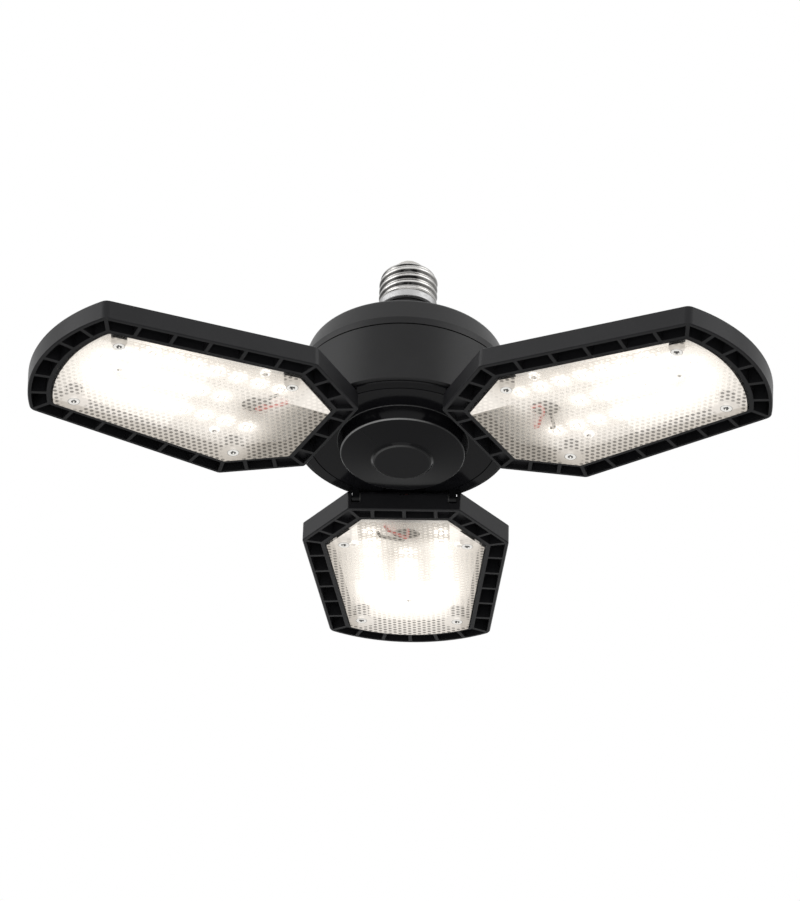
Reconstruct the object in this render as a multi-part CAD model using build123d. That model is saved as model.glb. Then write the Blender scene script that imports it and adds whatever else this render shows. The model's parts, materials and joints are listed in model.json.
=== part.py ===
from build123d import *
import os
from math import asin, cos, hypot, radians, sin, sqrt

# Three-panel ceiling lamp that screws into a lamp holder. Millimetres, +Z up, the lamp hangs
# below its screw cap. The origin is on the cap's axis, at the lower end of its plain collar.

# Screw cap
collar_r = 13.1
collar_h = 4.0
collar_neck = 0.4
thread_start = 5.2
thread_root_r = 12.15
thread_crest_r = 13.05
thread_pitch = 3.63
thread_count = 4
thread_flank = 0.9
thread_crest_w = 1.2
shell_bore_r = 11.6
shell_mouth_r = 9.0
shell_shoulder_h = 1.7
shell_mouth_turn = 0.5
insulator_r = 6.8
insulator_h = 5.0
insulator_root = 2.4
insulator_bevel = 1.0
contact_r = 5.4
contact_h = 2.4
contact_stem_r = 2.0
contact_stem_h = 4.0

# Upper housing, the domed cover with the neck
neck_r = 13.3
neck_h = 15.0
neck_groove = 0.5
neck_top_gap = 0.75
neck_lip_h = 0.65
neck_flare = 0.4
plug_wall = 1.9
plug_h = 14.0
dome_corner_inset = 4.2
dome_fall = 10.4
dome_side_h = 12.0
dome_band_inset = 0.4
dome_band_h = 3.3
dome_round = 3.0
dome_band_round = 1.6
neck_round = 5.0
housing_wall = 2.2
spigot_h = 8.2

# Drum round the driver
shadow_gap = 0.5
drum_h = 28.8
drum_top_r = 47.2
drum_draft = 0.2
drum_wall = 1.9
drum_taper = 0.1
drum_top_break = 0.5
drum_foot_break = 0.3
ledge_w = 2.2
ledge_h = 1.8

# Hinge base, the plate that closes the drum and carries the ears
base_drop = 1.0
base_t = 6.0
base_step_inset = 6.6
base_groove_w = 0.5
base_groove_depth = 0.45
base_rim_fall = 0.35
base_lip = 0.4
fit_gap = 0.15

# Bottom cap
cap_root_r = 28.4
cap_rim_r = 27.0
cap_wall_h = 6.25
cap_rim_round = 0.9
cap_cone_r = 13.6
cap_cone_h = 2.65
cap_button_r = 12.45
cap_button_h = 1.4
cap_button_round = 0.6
cap_foot_round = 1.0
cap_wall = 1.8
cap_seat_gap = 0.05
leg_r = 23.0
leg_t = 1.5
leg_w = 6.0
leg_hook = 0.8
leg_hook_h = 1.8
leg_hook_slope = 0.2
leg_gap = 0.3

# Hinges
hinge_inset = 8.7
hinge_drop = 3.5
pin_r = 1.5
pin_run = 0.06
pin_seat = 0.02
pin_end_gap = 0.1
pin_in = 14.8
pin_out = 25.2
ear_r = 3.0
ear_t = 3.0
ear_out = 23.0
ear_side_gap = 0.3
washer_t = 0.6
washer_gap = 0.1
washer_r = 2.9
ear_swing_gap = 0.35
ear_tilt_room = 0.9
knuckle_r = 3.2
well_half = 9.5
well_depth = 3.2
station_azimuths = {"left": 210.0, "right": 330.0, "rear": 90.0}
rest_tilts = {"left": -3.6, "right": -3.4, "rear": 6.3}

# Panel outline in its own frame: u runs outwards from the hub edge, v across, w from the lit
# face to the back
hub_half = 24.8
shoulder_u = 30.9
shoulder_half = 46.4
tip_u = 123.8
tip_half = 37.6
tip_bow = 11.8
panel_t = 9.1
hub_corner_round = 1.5
shoulder_round = 3.0
tip_round = 4.0
edge_break = 0.4
back_break = 0.3
pivot_u = 3.2
pivot_w = 6.8

# Cells round the rim
rim_wall = 1.5
rim_cell_w = 6.4
rim_rib_t = 1.6
cell_floor_w = 7.4
hinge_cell_depth = 2.2
hub_rib_pitch = 14.0
bevel_cell_count = 3
side_cell_count = 6
tip_cell_count = 6

# Cavity, lens and board
rebate_inset = 9.8
rebate_depth = 1.3
ledge_inset = 11.8
cavity_round = 2.0
lens_gap = 0.15
lens_proud = 1.0
lens_round = 0.7
lens_screw_inner = (33.2, 27.7)
lens_screw_outer = (110.6, 22.4)
lens_boss_r = 3.4
lens_boss_root = 0.2
lens_screw_r = 1.25
lens_head_r = 2.6
lens_head_h = 1.55
lens_screw_end = 6.2
screw_gap = 0.05
board_t = 1.5
board_gap = 0.3
board_boss_gap = 0.4
board_screw_places = ((44.0, 24.0), (44.0, -24.0), (100.0, 0.0))
board_screw_r = 1.1
board_head_r = 2.2
board_head_h = 1.2
board_screw_bite = 1.1

# Light sources: two straight legs, a bow across the tip and a middle row
chip_pitch = 10.0
chip_first_u = 32.5
chip_leg_v = 16.0
chip_leg_count = 7
chip_bow = ((101.5, 12.0), (109.5, 5.0))
chip_mid_first_u = 52.5
chip_middle_count = 5
chip_l = 3.5
chip_w = 2.8
chip_h = 0.7

# Wiring into each panel
wire_r = 0.7
wire_hole_u = 36.0
wire_hole_r = 6.5
channel_half = 2.2
channel_top_w = 8.9
hump_half = 8.0
hump_top_w = 9.5
hump_round = 0.3
wire_half_pitch = 0.85
wire_bend = 1.1
wire_start_u = 1.6
wire_ramp = 2.0
wire_lift = 1.0
wire_foot = (2.2, 1.2)
red_pad = (28.0, 8.0)
black_pad = (34.0, 11.5)
black_lag = 2.2
outlet_inset = 11.5
outlet_hole_r = 3.2
grommet_flange_r = 3.9
grommet_room = 0.4
grommet_flange_t = 0.8
grommet_bore_r = 1.9
wire_tail = 0.6

# Cooling fins on the back of each panel
fin_count = 7
fin_pitch = 9.0
fin_t = 1.5
fin_h = 2.4
fin_start_u = 52.0
fin_end_u = 118.0
fin_end_drop = 0.45

# Driver inside the drum
driver_inset = 7.0
driver_lift = 4.0
driver_t = 1.6
standoff_r = 3.2
standoff_place_r = 32.0
post_place_r = 19.0
post_r = 4.0
post_top_r = 4.8
post_gap = 0.6
base_screw_r = 1.45
base_head_r = 2.9
base_head_h = 1.8
base_screw_bite = 7.0
driver_screw_r = 1.3
driver_head_r = 2.5
driver_head_h = 1.2
driver_screw_bite = 3.2
bulk_cap_r = 6.25
bulk_cap_h = 22.0
bulk_cap_place = (-24.0, -5.0)
output_cap_r = 5.0
output_cap_h = 16.0
output_cap_place = (24.0, -5.0)
can_edge = 0.5
can_crimp_h = 2.6
can_crimp = 0.6
transformer_place = (0.0, 21.0)
core_size = (18.0, 10.0, 15.0)
core_window = (12.0, 9.0)
core_leg_w = 5.0
winding_depth = 13.0
winding_gap = 0.2
choke_place = (-13.0, -27.0)
choke_r = 5.0
choke_waist_r = 3.6
choke_h = 11.0
choke_flange_h = 1.8
rectifier_place = (13.0, -28.0)
rectifier_size = (9.0, 4.0, 7.0)
rectifier_bevel = 1.2
fuse_place = (0.0, 2.0)
fuse_r = 1.8
fuse_l = 9.0
plug_inset = 2.5
plug_size = (6.0, 4.5, 6.0)
plug_key = 1.0
live_lead_place = (8.0, -6.0)
neutral_lead_place = (8.0, 8.0)
cap_lead_r = 0.9
cap_lead_bend = 3.0
cap_lead_drop = 3.0
cap_lead_slant = 16.0

between_posts = (30.0, 150.0, 270.0)

# Heights and radii that follow from the values above
shell_ridge_h = thread_flank + thread_crest_w
shell_top_z = thread_start + (thread_count - 1) * thread_pitch + shell_ridge_h + shell_shoulder_h
contact_foot_z = shell_top_z - contact_stem_h
plug_bore_r = shell_bore_r - fit_gap - plug_wall
drum_foot_r = drum_top_r - drum_draft
dome_corner_r = drum_top_r - dome_corner_inset
dome_band_r = drum_top_r - dome_band_inset
dome_corner_z = -neck_h - dome_fall
dome_band_z = dome_corner_z - dome_side_h
dome_foot_z = dome_band_z - dome_band_h
spigot_r = drum_top_r - drum_wall - fit_gap
drum_top_z = dome_foot_z - shadow_gap
drum_foot_z = drum_top_z - drum_h
base_face_z = drum_foot_z - base_drop
base_top_z = base_face_z + base_t
base_rim_r = drum_foot_r - drum_wall + drum_taper - fit_gap
base_step_r = drum_foot_r - base_step_inset
cap_rim_z = base_face_z - cap_wall_h
cap_cone_z = cap_rim_z - cap_cone_h
cap_button_z = cap_cone_z - cap_button_h
hinge_r = drum_foot_r - hinge_inset
hinge_z = base_face_z - hinge_drop
outlet_r = drum_foot_r - outlet_inset
plug_place_r = outlet_r - plug_inset
driver_r = drum_foot_r - driver_inset
slot_in = ear_out - ear_t - washer_t - 2 * washer_gap
slot_out = ear_out + ear_side_gap
apex_u = tip_u + tip_bow
driver_z = base_top_z + driver_lift
driver_top_z = driver_z + driver_t
beyond = 1.0


# Small helpers

def revolved(points):
    """Solid of revolution about Z from a closed profile of (radius, z) points."""
    outline = Polyline(*[(r, 0, z) for r, z in points], close=True)
    return revolve(make_face(outline), Axis.Z)


def tube(points, radius, bends):
    """Round wire along straight runs joined by tangent arcs."""
    path = FilletPolyline(*points, radius=bends)
    start = Plane(origin=path @ 0, z_dir=path % 0)
    return sweep(start * Circle(radius), path=path)


def slab(x0, x1, y0, y1, z0, z1):
    """Block between two corners."""
    block = Box(x1 - x0, y1 - y0, z1 - z0, align=(Align.MIN, Align.MIN, Align.MIN))
    return Pos(x0, y0, z0) * block


def rod(radius, z0, z1):
    """Cylinder on the Z axis between two heights."""
    return Pos(0, 0, z0) * Cylinder(radius, z1 - z0, align=(Align.CENTER, Align.CENTER, Align.MIN))


def rod_across(radius, u, w, v0, v1):
    """Cylinder along v through the point (u, w)."""
    return Pos(u, v0, w) * Rot(-90, 0, 0) * rod(radius, 0, v1 - v0)


def around(azimuth, radius, piece):
    """Piece drawn at the axis, moved out to a radius at an azimuth."""
    return Rot(0, 0, azimuth) * Pos(radius, 0, 0) * piece


def group(pieces):
    """Several separate solids in one node."""
    solids = []
    for piece in pieces:
        solids += piece.solids()
    return Compound(children=solids)


def meet(a, along_a, b, along_b):
    """Point where two lines cross, each given by a point and a direction."""
    cross = along_a[0] * along_b[1] - along_a[1] * along_b[0]
    gap = (b[0] - a[0], b[1] - a[1])
    step = (gap[0] * along_b[1] - gap[1] * along_b[0]) / cross
    return (a[0] + along_a[0] * step, a[1] + along_a[1] * step)


# Panel outline

def unit(a, b):
    """Unit vector from a to b."""
    length = hypot(b[0] - a[0], b[1] - a[1])
    return ((b[0] - a[0]) / length, (b[1] - a[1]) / length)


def tip_arc():
    """Centre and radius of the arc that closes the outer end."""
    rise = apex_u - tip_u
    radius = (tip_half ** 2 + rise ** 2) / (2 * rise)
    return apex_u - radius, radius


def inset_corners(inset):
    """Hub corner, shoulder and tip corner on the +v side, and the apex, moved in by inset."""
    hub = (0.0, hub_half)
    shoulder = (shoulder_u, shoulder_half)
    tip = (tip_u, tip_half)
    bevel = unit(hub, shoulder)
    side = unit(shoulder, tip)
    on_bevel = (hub[0] + bevel[1] * inset, hub[1] - bevel[0] * inset)
    on_side = (shoulder[0] + side[1] * inset, shoulder[1] - side[0] * inset)
    new_hub = meet((inset, 0.0), (0.0, 1.0), on_bevel, bevel)
    new_shoulder = meet(on_bevel, bevel, on_side, side)
    centre, radius = tip_arc()
    inner = radius - inset
    ahead = (on_side[0] - centre) * side[0] + on_side[1] * side[1]
    off = (on_side[0] - centre) ** 2 + on_side[1] ** 2 - inner ** 2
    step = sqrt(ahead ** 2 - off) - ahead
    new_tip = (on_side[0] + side[0] * step, on_side[1] + side[1] * step)
    return new_hub, new_shoulder, new_tip, centre + inner


def panel_face(inset, rounds=(0.0, 0.0, 0.0)):
    """The panel's outline as a face, moved in by inset, with rounded corners."""
    hub, shoulder, tip, apex = inset_corners(inset)
    low = Polyline((hub[0], -hub[1]), (shoulder[0], -shoulder[1]), (tip[0], -tip[1]))
    bow = ThreePointArc((tip[0], -tip[1]), (apex, 0), tip)
    high = Polyline(tip, shoulder, hub)
    end = Line(hub, (hub[0], -hub[1]))
    face = make_face(low + bow + high + end)
    for corner, radius in zip((hub, shoulder, tip), rounds):
        if radius > 0:
            picked = [face.vertices().sort_by_distance((corner[0], side * corner[1]))[0]
                      for side in (1, -1)]
            face = fillet(picked, radius)
    return face


def layer(face, w0, w1):
    """Face extruded from w0 to w1."""
    return Pos(0, 0, w0) * extrude(face, amount=w1 - w0)


# Cells round the panel's rim

def rib_strip(foot, inward):
    """Flat strip of one rib, from a foot on the outline along its inward direction."""
    reach = rim_wall + rim_cell_w + rim_wall
    heading = Vector(inward[0], inward[1]).get_signed_angle(Vector(1, 0), Vector(0, 0, -1))
    strip = Rectangle(reach, rim_rib_t, align=(Align.MIN, Align.CENTER))
    return Pos(foot[0], foot[1]) * Rot(0, 0, heading) * strip


def edge_ribs(start, end, cells):
    """Ribs that divide the rim along one straight edge into equal cells."""
    along = unit(start, end)
    inward = (along[1], -along[0])
    ribs = []
    for k in range(1, cells):
        share = k / cells
        foot = (start[0] + (end[0] - start[0]) * share, start[1] + (end[1] - start[1]) * share)
        ribs.append(rib_strip(foot, inward))
    return ribs


def corner_rib(corner, inner_corner):
    """Rib that joins a corner of the outline to the same corner of the inner wall."""
    return rib_strip(corner, unit(corner, inner_corner))


def rim_ribs():
    """All ribs of the rim, on both sides of the panel."""
    hub, shoulder, tip, _ = inset_corners(0.0)
    in_hub, in_shoulder, in_tip, _ = inset_corners(rim_wall + rim_cell_w)
    ribs = [rib_strip((0.0, place * hub_rib_pitch), (1.0, 0.0)) for place in (-1, 0, 1)]
    centre, radius = tip_arc()
    spread = asin(tip_half / radius)
    for k in range(1, tip_cell_count):
        angle = spread * (2 * k / tip_cell_count - 1)
        foot = (centre + radius * cos(angle), radius * sin(angle))
        ribs.append(rib_strip(foot, (-cos(angle), -sin(angle))))
    half = edge_ribs(hub, shoulder, bevel_cell_count) + edge_ribs(shoulder, tip, side_cell_count)
    half += [corner_rib(hub, in_hub), corner_rib(shoulder, in_shoulder), corner_rib(tip, in_tip)]
    ribs += half + [mirror(rib, about=Plane.XZ) for rib in half]
    return ribs


def rim_cells():
    """The open cells of the rim as solids: shallow beside the hinges and deep elsewhere."""
    ring = panel_face(rim_wall) - panel_face(rim_wall + rim_cell_w)
    cells = ring - rim_ribs()
    by_hinge_u = shoulder_u / bevel_cell_count
    solids = []
    for cell in cells.faces():
        middle = cell.center()
        by_hinge = middle.X < by_hinge_u and abs(middle.Y) > hub_rib_pitch
        depth = hinge_cell_depth if by_hinge else cell_floor_w
        solids.append(layer(cell, -beyond, depth))
    return solids


# Panel frame

def lens_screw_places():
    """The four lens screws, as (u, v)."""
    return [(u, side * v) for u, v in (lens_screw_inner, lens_screw_outer) for side in (1, -1)]


def hinge_slot():
    """Room for one ear, on the +v side: round below the pin, open to the hub and the back."""
    half = ear_r + ear_swing_gap
    out_u = pivot_u + ear_r + ear_tilt_room
    over = panel_t + knuckle_r
    swept = rod_across(half, pivot_u, pivot_w, slot_in, slot_out)
    swept += slab(-beyond, pivot_u, slot_in, slot_out, pivot_w - half, over)
    swept += slab(pivot_u, out_u, slot_in, slot_out, pivot_w, over)
    return swept


def both_sides(piece):
    """The piece and its mirror image across the panel's centre plane."""
    return [piece, mirror(piece, about=Plane.XZ)]


def knuckles():
    """Barrels round the two hinge pins, either side of each slot."""
    inner = rod_across(knuckle_r, pivot_u, pivot_w, hub_rib_pitch + rim_rib_t / 2, slot_in)
    outer = rod_across(knuckle_r, pivot_u, pivot_w, slot_out, hub_half)
    return both_sides(inner) + both_sides(outer)


def pin_bore():
    """Bore for one pin, on the +v side: open to the middle cell and blind at the outer end."""
    return rod_across(pin_r + pin_seat, pivot_u, pivot_w, hub_rib_pitch - rim_rib_t, pin_out + pin_end_gap)


def swing_relief():
    """What the back of the hub edge loses so that it swings clear under the hub."""
    corner = slab(-beyond, pivot_u, -shoulder_half, shoulder_half, pivot_w, hump_top_w + knuckle_r)
    return corner - rod_across(knuckle_r, pivot_u, pivot_w, -shoulder_half, shoulder_half)


def cable_hump():
    """Raised channel cover on the back, from the hub edge to the wire hole."""
    plan = Pos(wire_hole_u / 2, 0) * Rectangle(wire_hole_u, 2 * hump_half)
    plan += Pos(wire_hole_u, 0) * Circle(hump_half)
    body = layer(plan, cell_floor_w, hump_top_w)
    top = body.faces().sort_by(Axis.Z)[-1]
    rounded = [edge for edge in top.edges() if edge.center().X > hump_round]
    return chamfer(rounded, hump_round)


def cable_room():
    """Channel for the two wires and the well behind the board."""
    channel = slab(-beyond, wire_hole_u, -channel_half, channel_half, cell_floor_w, channel_top_w)
    well = Pos(wire_hole_u, 0, 0) * rod(wire_hole_r, cell_floor_w, channel_top_w)
    return channel + well


def cooling_fins():
    """Fins along the back, each with sloping ends, shortened where the tip narrows."""
    centre, radius = tip_arc()
    fins = []
    for k in range(fin_count):
        v = (k - (fin_count - 1) / 2) * fin_pitch
        end = min(fin_end_u, centre + sqrt(radius ** 2 - v ** 2) - (apex_u - fin_end_u))
        run = fin_h * fin_end_drop
        root = panel_t - rim_wall / 2
        profile = [(fin_start_u, root), (fin_start_u, panel_t), (fin_start_u + run, panel_t + fin_h),
                   (end - run, panel_t + fin_h), (end, panel_t), (end, root)]
        side = make_face(Polyline(*[(u, 0, w) for u, w in profile], close=True))
        fins.append(Pos(0, v, 0) * extrude(side, amount=fin_t / 2, both=True))
    return fins


def frame_shell():
    """Tray with broken outer edges, before its cells and cavity are cut."""
    body = layer(panel_face(0.0, (hub_corner_round, shoulder_round, tip_round)), 0.0, panel_t)
    back = body.faces().sort_by(Axis.Z)[-1]
    body = chamfer(back.edges(), back_break)
    front = body.faces().sort_by(Axis.Z)[0]
    return chamfer(front.edges(), edge_break)


def panel_frame():
    """Die-cast frame: rim with open cells, lens rebate, board cavity, hinge slots and fins."""
    body = frame_shell() + cable_hump() - swing_relief()
    body += knuckles() + cooling_fins()
    body -= rim_cells()
    rounds = (cavity_round,) * 3
    body -= layer(panel_face(rebate_inset, rounds), -beyond, rebate_depth)
    body -= layer(panel_face(ledge_inset, rounds), -beyond, cell_floor_w)
    body += [Pos(u, v, 0) * rod(lens_boss_r, rebate_depth, cell_floor_w + lens_boss_root)
             for u, v in lens_screw_places()]
    body -= [Pos(u, v, 0) * rod(lens_screw_r + screw_gap, 0.0, lens_screw_end + screw_gap)
             for u, v in lens_screw_places()]
    hole_end = cell_floor_w + board_screw_bite + screw_gap
    body -= [Pos(u, v, 0) * rod(board_screw_r + screw_gap, cell_floor_w - board_t, hole_end)
             for u, v in board_screw_places]
    body -= cable_room()
    body -= both_sides(hinge_slot())
    body -= both_sides(pin_bore())
    return body


# Pieces held by the panel frame

def lens():
    """Clear cover, proud of the rim, with a countersunk hole at each screw."""
    face = panel_face(rebate_inset + lens_gap, (cavity_round,) * 3)
    body = layer(face, -lens_proud, rebate_depth)
    front = body.faces().sort_by(Axis.Z)[0]
    body = chamfer(front.edges(), lens_round)
    wide = lens_head_r + 2 * screw_gap
    narrow = lens_screw_r + 2 * screw_gap
    below = rebate_depth + beyond
    sink = revolved([(0, -lens_proud - screw_gap), (wide, -lens_proud - screw_gap),
                     (narrow, lens_head_h - lens_proud), (narrow, below), (0, below)])
    return body - [Pos(u, v, 0) * sink for u, v in lens_screw_places()]


def lens_screws():
    """Four countersunk screws through the lens into the frame's bosses."""
    screw = revolved([(0, -lens_proud), (lens_head_r, -lens_proud),
                      (lens_screw_r, lens_head_h - lens_proud), (lens_screw_r, lens_screw_end),
                      (0, lens_screw_end)])
    return group([Pos(u, v, 0) * screw for u, v in lens_screw_places()])


def led_board():
    """White board on the floor of the cavity, cut round the bosses and over the wire hole."""
    front_w = cell_floor_w - board_t
    board = layer(panel_face(ledge_inset + board_gap, (cavity_round,) * 3), front_w, cell_floor_w)
    low = front_w - beyond
    high = cell_floor_w + beyond
    around_boss = lens_boss_r + board_boss_gap
    board -= [Pos(u, v, 0) * rod(around_boss, low, high) for u, v in lens_screw_places()]
    around_screw = board_screw_r + 2 * screw_gap
    board -= [Pos(u, v, 0) * rod(around_screw, low, high) for u, v in board_screw_places]
    return board - Pos(wire_hole_u, 0, 0) * rod(wire_hole_r, low, high)


def chip_places():
    """Every light source on the board, as (u, v)."""
    legs = [(chip_first_u + k * chip_pitch, side * chip_leg_v)
            for side in (1, -1) for k in range(chip_leg_count)]
    bow = [(u, side * v) for u, v in chip_bow for side in (1, -1)]
    middle = [(chip_mid_first_u + k * chip_pitch, 0.0) for k in range(chip_middle_count)]
    return legs + bow + middle


def led_chips():
    """Light sources soldered to the board."""
    face_w = cell_floor_w - board_t
    chip = slab(-chip_l / 2, chip_l / 2, -chip_w / 2, chip_w / 2, face_w - chip_h, face_w)
    return group([Pos(u, v, 0) * chip for u, v in chip_places()])


def board_screws():
    """Three pan-head screws that press the board to the frame's floor."""
    head_w = cell_floor_w - board_t
    screw = rod(board_head_r, head_w - board_head_h, head_w)
    screw += rod(board_screw_r, head_w, cell_floor_w + board_screw_bite)
    return group([Pos(u, v, 0) * screw for u, v in board_screw_places])


def hinge_pins():
    """Two short pins on the panel's tilt axis, one through each ear."""
    return group(both_sides(rod_across(pin_r, pivot_u, pivot_w, pin_in, pin_out)))


def friction_washers():
    """Thin washers between each ear and the inner knuckle, which hold the tilt."""
    outer = ear_out - ear_t - washer_gap
    ring = rod_across(washer_r, pivot_u, pivot_w, outer - washer_t, outer)
    ring -= rod_across(pin_r + pin_run, pivot_u, pivot_w, outer - washer_t - beyond, outer + beyond)
    return group(both_sides(ring))


def panel_lead(side, lag, pad):
    """Wire from the hub edge, along the channel, out of the wire hole and back to its pad."""
    in_channel = (cell_floor_w + channel_top_w) / 2
    on_board = cell_floor_w - board_t - wire_r
    lifted = on_board - wire_lift
    v = side * wire_half_pitch
    rise_u = wire_hole_u + lag
    points = [(wire_start_u, v, in_channel), (rise_u - wire_ramp, v, in_channel), (rise_u, v, lifted),
              (pad[0], pad[1], lifted), (pad[0] - wire_foot[0], pad[1] + wire_foot[1], on_board)]
    return tube(points, wire_r, wire_bend)


# Hub pieces

def cap_shell():
    """Screw shell: plain collar, four rounded thread ridges and a turned-in mouth."""
    points = [(shell_bore_r, 0), (collar_r, 0), (collar_r, collar_h),
              (thread_root_r, collar_h + collar_neck)]
    for k in range(thread_count):
        z = thread_start + k * thread_pitch
        points += [(thread_root_r, z), (thread_crest_r, z + thread_flank),
                   (thread_crest_r, z + shell_ridge_h)]
        if k < thread_count - 1:
            points.append((thread_root_r, z + shell_ridge_h + thread_flank))
    crest_z = shell_top_z - shell_shoulder_h
    wall = collar_r - shell_bore_r
    points += [(shell_bore_r, shell_top_z - wall / 2), (shell_mouth_r + shell_mouth_turn, shell_top_z),
               (shell_mouth_r, shell_top_z - shell_mouth_turn),
               (shell_bore_r - shell_mouth_turn, crest_z - shell_mouth_turn),
               (shell_bore_r, crest_z - 2 * shell_mouth_turn)]
    return revolved(points)


def cap_insulator():
    """Pale plug in the mouth of the shell, with a bore for the contact's stem."""
    foot = shell_top_z - insulator_root
    head = shell_top_z + insulator_h
    bore = contact_stem_r + screw_gap
    mouth = shell_mouth_r - fit_gap
    bevel = insulator_bevel
    return revolved([(bore, foot), (mouth, foot), (mouth, shell_top_z), (mouth - bevel, shell_top_z + bevel),
                     (insulator_r, head - bevel), (insulator_r - bevel, head), (bore, head)])


def centre_contact():
    """Domed contact riveted to the insulator."""
    seat = shell_top_z + insulator_h
    top = seat + contact_h
    flange = Polyline((contact_r, 0, seat), (contact_stem_r, 0, seat), (contact_stem_r, 0, contact_foot_z),
                      (0, 0, contact_foot_z), (0, 0, top))
    shoulder = (contact_r * cos(radians(45)), 0, seat + contact_h * sin(radians(45)))
    dome = ThreePointArc((0, 0, top), shoulder, (contact_r, 0, seat))
    return revolve(make_face(flange + dome), Axis.Z)


def cover_face():
    """Half profile of the domed cover: plug for the cap, neck, dome and spigot into the drum."""
    wall = housing_wall
    neck = neck_r - neck_groove
    lip_z = -neck_top_gap - neck_lip_h
    spigot_z = dome_foot_z - spigot_h
    plug_r = plug_bore_r + plug_wall
    outer = [(plug_bore_r, plug_h), (plug_r, plug_h), (plug_r, -cap_seat_gap), (neck, -cap_seat_gap),
             (neck, -neck_top_gap), (neck_r, -neck_top_gap), (neck_r, lip_z), (neck, lip_z),
             (neck + neck_flare, -neck_h), (dome_corner_r, dome_corner_z), (dome_band_r, dome_band_z),
             (dome_band_r, dome_foot_z), (spigot_r, dome_foot_z), (spigot_r, spigot_z)]
    inner = [(spigot_r - wall, spigot_z), (spigot_r - wall, dome_band_z),
             (dome_corner_r - wall, dome_corner_z - wall), (plug_bore_r, -neck_h - wall)]
    face = make_face(Polyline(*[(r, 0, z) for r, z in outer + inner], close=True))
    for radius, (r, z) in ((neck_round, (neck + neck_flare, -neck_h)),
                           (dome_round, (dome_corner_r, dome_corner_z)),
                           (dome_band_round, (dome_band_r, dome_band_z))):
        corner = face.vertices().sort_by_distance((r, 0, z))[0]
        face = fillet(corner, radius)
    return face


def upper_housing():
    """Domed cover with three screw posts inside."""
    body = revolve(cover_face(), Axis.Z)
    slope = -dome_fall / (dome_corner_r - neck_r)
    ceiling = -neck_h - housing_wall / 2 + slope * (post_place_r + post_top_r - neck_r)
    length = ceiling - base_top_z
    post = Pos(0, 0, base_top_z) * Cone(post_r, post_top_r, length,
                                       align=(Align.CENTER, Align.CENTER, Align.MIN))
    body += [around(azimuth, post_place_r, post) for azimuth in between_posts]
    drill = rod(base_screw_r + screw_gap, base_top_z - beyond, base_top_z + base_screw_bite + screw_gap)
    return body - [around(azimuth, post_place_r, drill) for azimuth in between_posts]


def drum():
    """Outer wall round the driver, with one ledge for the spigot and one for the hinge base."""
    seat_z = dome_foot_z - spigot_h
    bore_top = drum_top_r - drum_wall
    bore_foot = drum_foot_r - drum_wall + drum_taper
    narrow = bore_foot - ledge_w
    return revolved([(bore_top, drum_top_z), (drum_top_r - drum_top_break, drum_top_z),
                     (drum_top_r, drum_top_z - drum_top_break), (drum_foot_r, drum_foot_z + drum_foot_break),
                     (drum_foot_r - drum_foot_break, drum_foot_z), (bore_foot, drum_foot_z),
                     (bore_foot, base_top_z), (narrow, base_top_z), (narrow, base_top_z + ledge_h),
                     (bore_foot, base_top_z + 2 * ledge_h), (bore_top, seat_z - 2 * ledge_h),
                     (narrow, seat_z - ledge_h), (narrow, seat_z), (bore_top, seat_z)])


def station_ear():
    """One ear drawn at azimuth 0, on the +v side, hanging from the base."""
    inner = ear_out - ear_t
    blade_top = drum_foot_z - fit_gap
    ear = rod_across(ear_r, hinge_r, hinge_z, inner, ear_out)
    ear += slab(hinge_r - ear_r, hinge_r + ear_r, inner, ear_out, hinge_z, blade_top)
    root_top = base_face_z + base_t / 2
    root = slab(hinge_r - ear_r, hinge_r + ear_r, inner, ear_out, blade_top, root_top)
    return ear + (root & rod(base_rim_r - base_lip, blade_top, root_top))


def station_cuts():
    """What one hinge station takes out of the base: pin bores, cable well and outlet."""
    bore = rod_across(pin_r + pin_run, hinge_r, hinge_z, ear_out - ear_t - beyond, ear_out + beyond)
    well_in = outlet_r - grommet_flange_r - grommet_room
    low = base_face_z - beyond
    well = slab(well_in, base_rim_r + beyond, -well_half, well_half, low, base_face_z + well_depth)
    outlet = Pos(outlet_r, 0, 0) * rod(outlet_hole_r, low, base_top_z + beyond)
    return both_sides(bore) + [well, outlet]


def base_plate():
    """Plate that fits up into the drum: flat face, groove, gently sloping border and rounded lip."""
    groove_r = base_step_r + base_groove_w
    border_z = base_face_z + base_rim_fall
    groove_z = base_face_z + base_groove_depth
    return revolved([(0, base_face_z), (base_step_r, base_face_z), (base_step_r, groove_z),
                     (groove_r, groove_z), (groove_r, base_face_z),
                     (base_rim_r - base_lip, border_z), (base_rim_r, border_z + base_lip),
                     (base_rim_r, base_top_z), (0, base_top_z)])


def hinge_base():
    """Plate that closes the drum, with six ears, three cable outlets and three standoffs."""
    body = base_plate()
    for azimuth in station_azimuths.values():
        body += [Rot(0, 0, azimuth) * ear for ear in both_sides(station_ear())]
    for azimuth in station_azimuths.values():
        body -= [Rot(0, 0, azimuth) * cut for cut in station_cuts()]
    standoff = rod(standoff_r, base_top_z, driver_z)
    body += [around(azimuth, standoff_place_r, standoff) for azimuth in between_posts]
    pilot = rod(driver_screw_r + screw_gap, driver_z - driver_screw_bite - screw_gap, driver_z + beyond)
    body -= [around(azimuth, standoff_place_r, pilot) for azimuth in between_posts]
    low = base_face_z - beyond
    high = base_top_z + beyond
    through = rod(base_screw_r + 2 * screw_gap, low, high)
    through += rod(base_head_r + 2 * screw_gap, low, base_face_z + base_head_h)
    body -= [around(azimuth, post_place_r, through) for azimuth in between_posts]
    slot_half = leg_w / 2 + leg_gap
    slot_end = leg_r + leg_t / 2 + leg_gap / 2
    slot = slab(leg_r - leg_t / 2 - leg_hook, slot_end, -slot_half, slot_half, low, high)
    return body - [Rot(0, 0, azimuth) * slot for azimuth in station_azimuths.values()]


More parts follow.
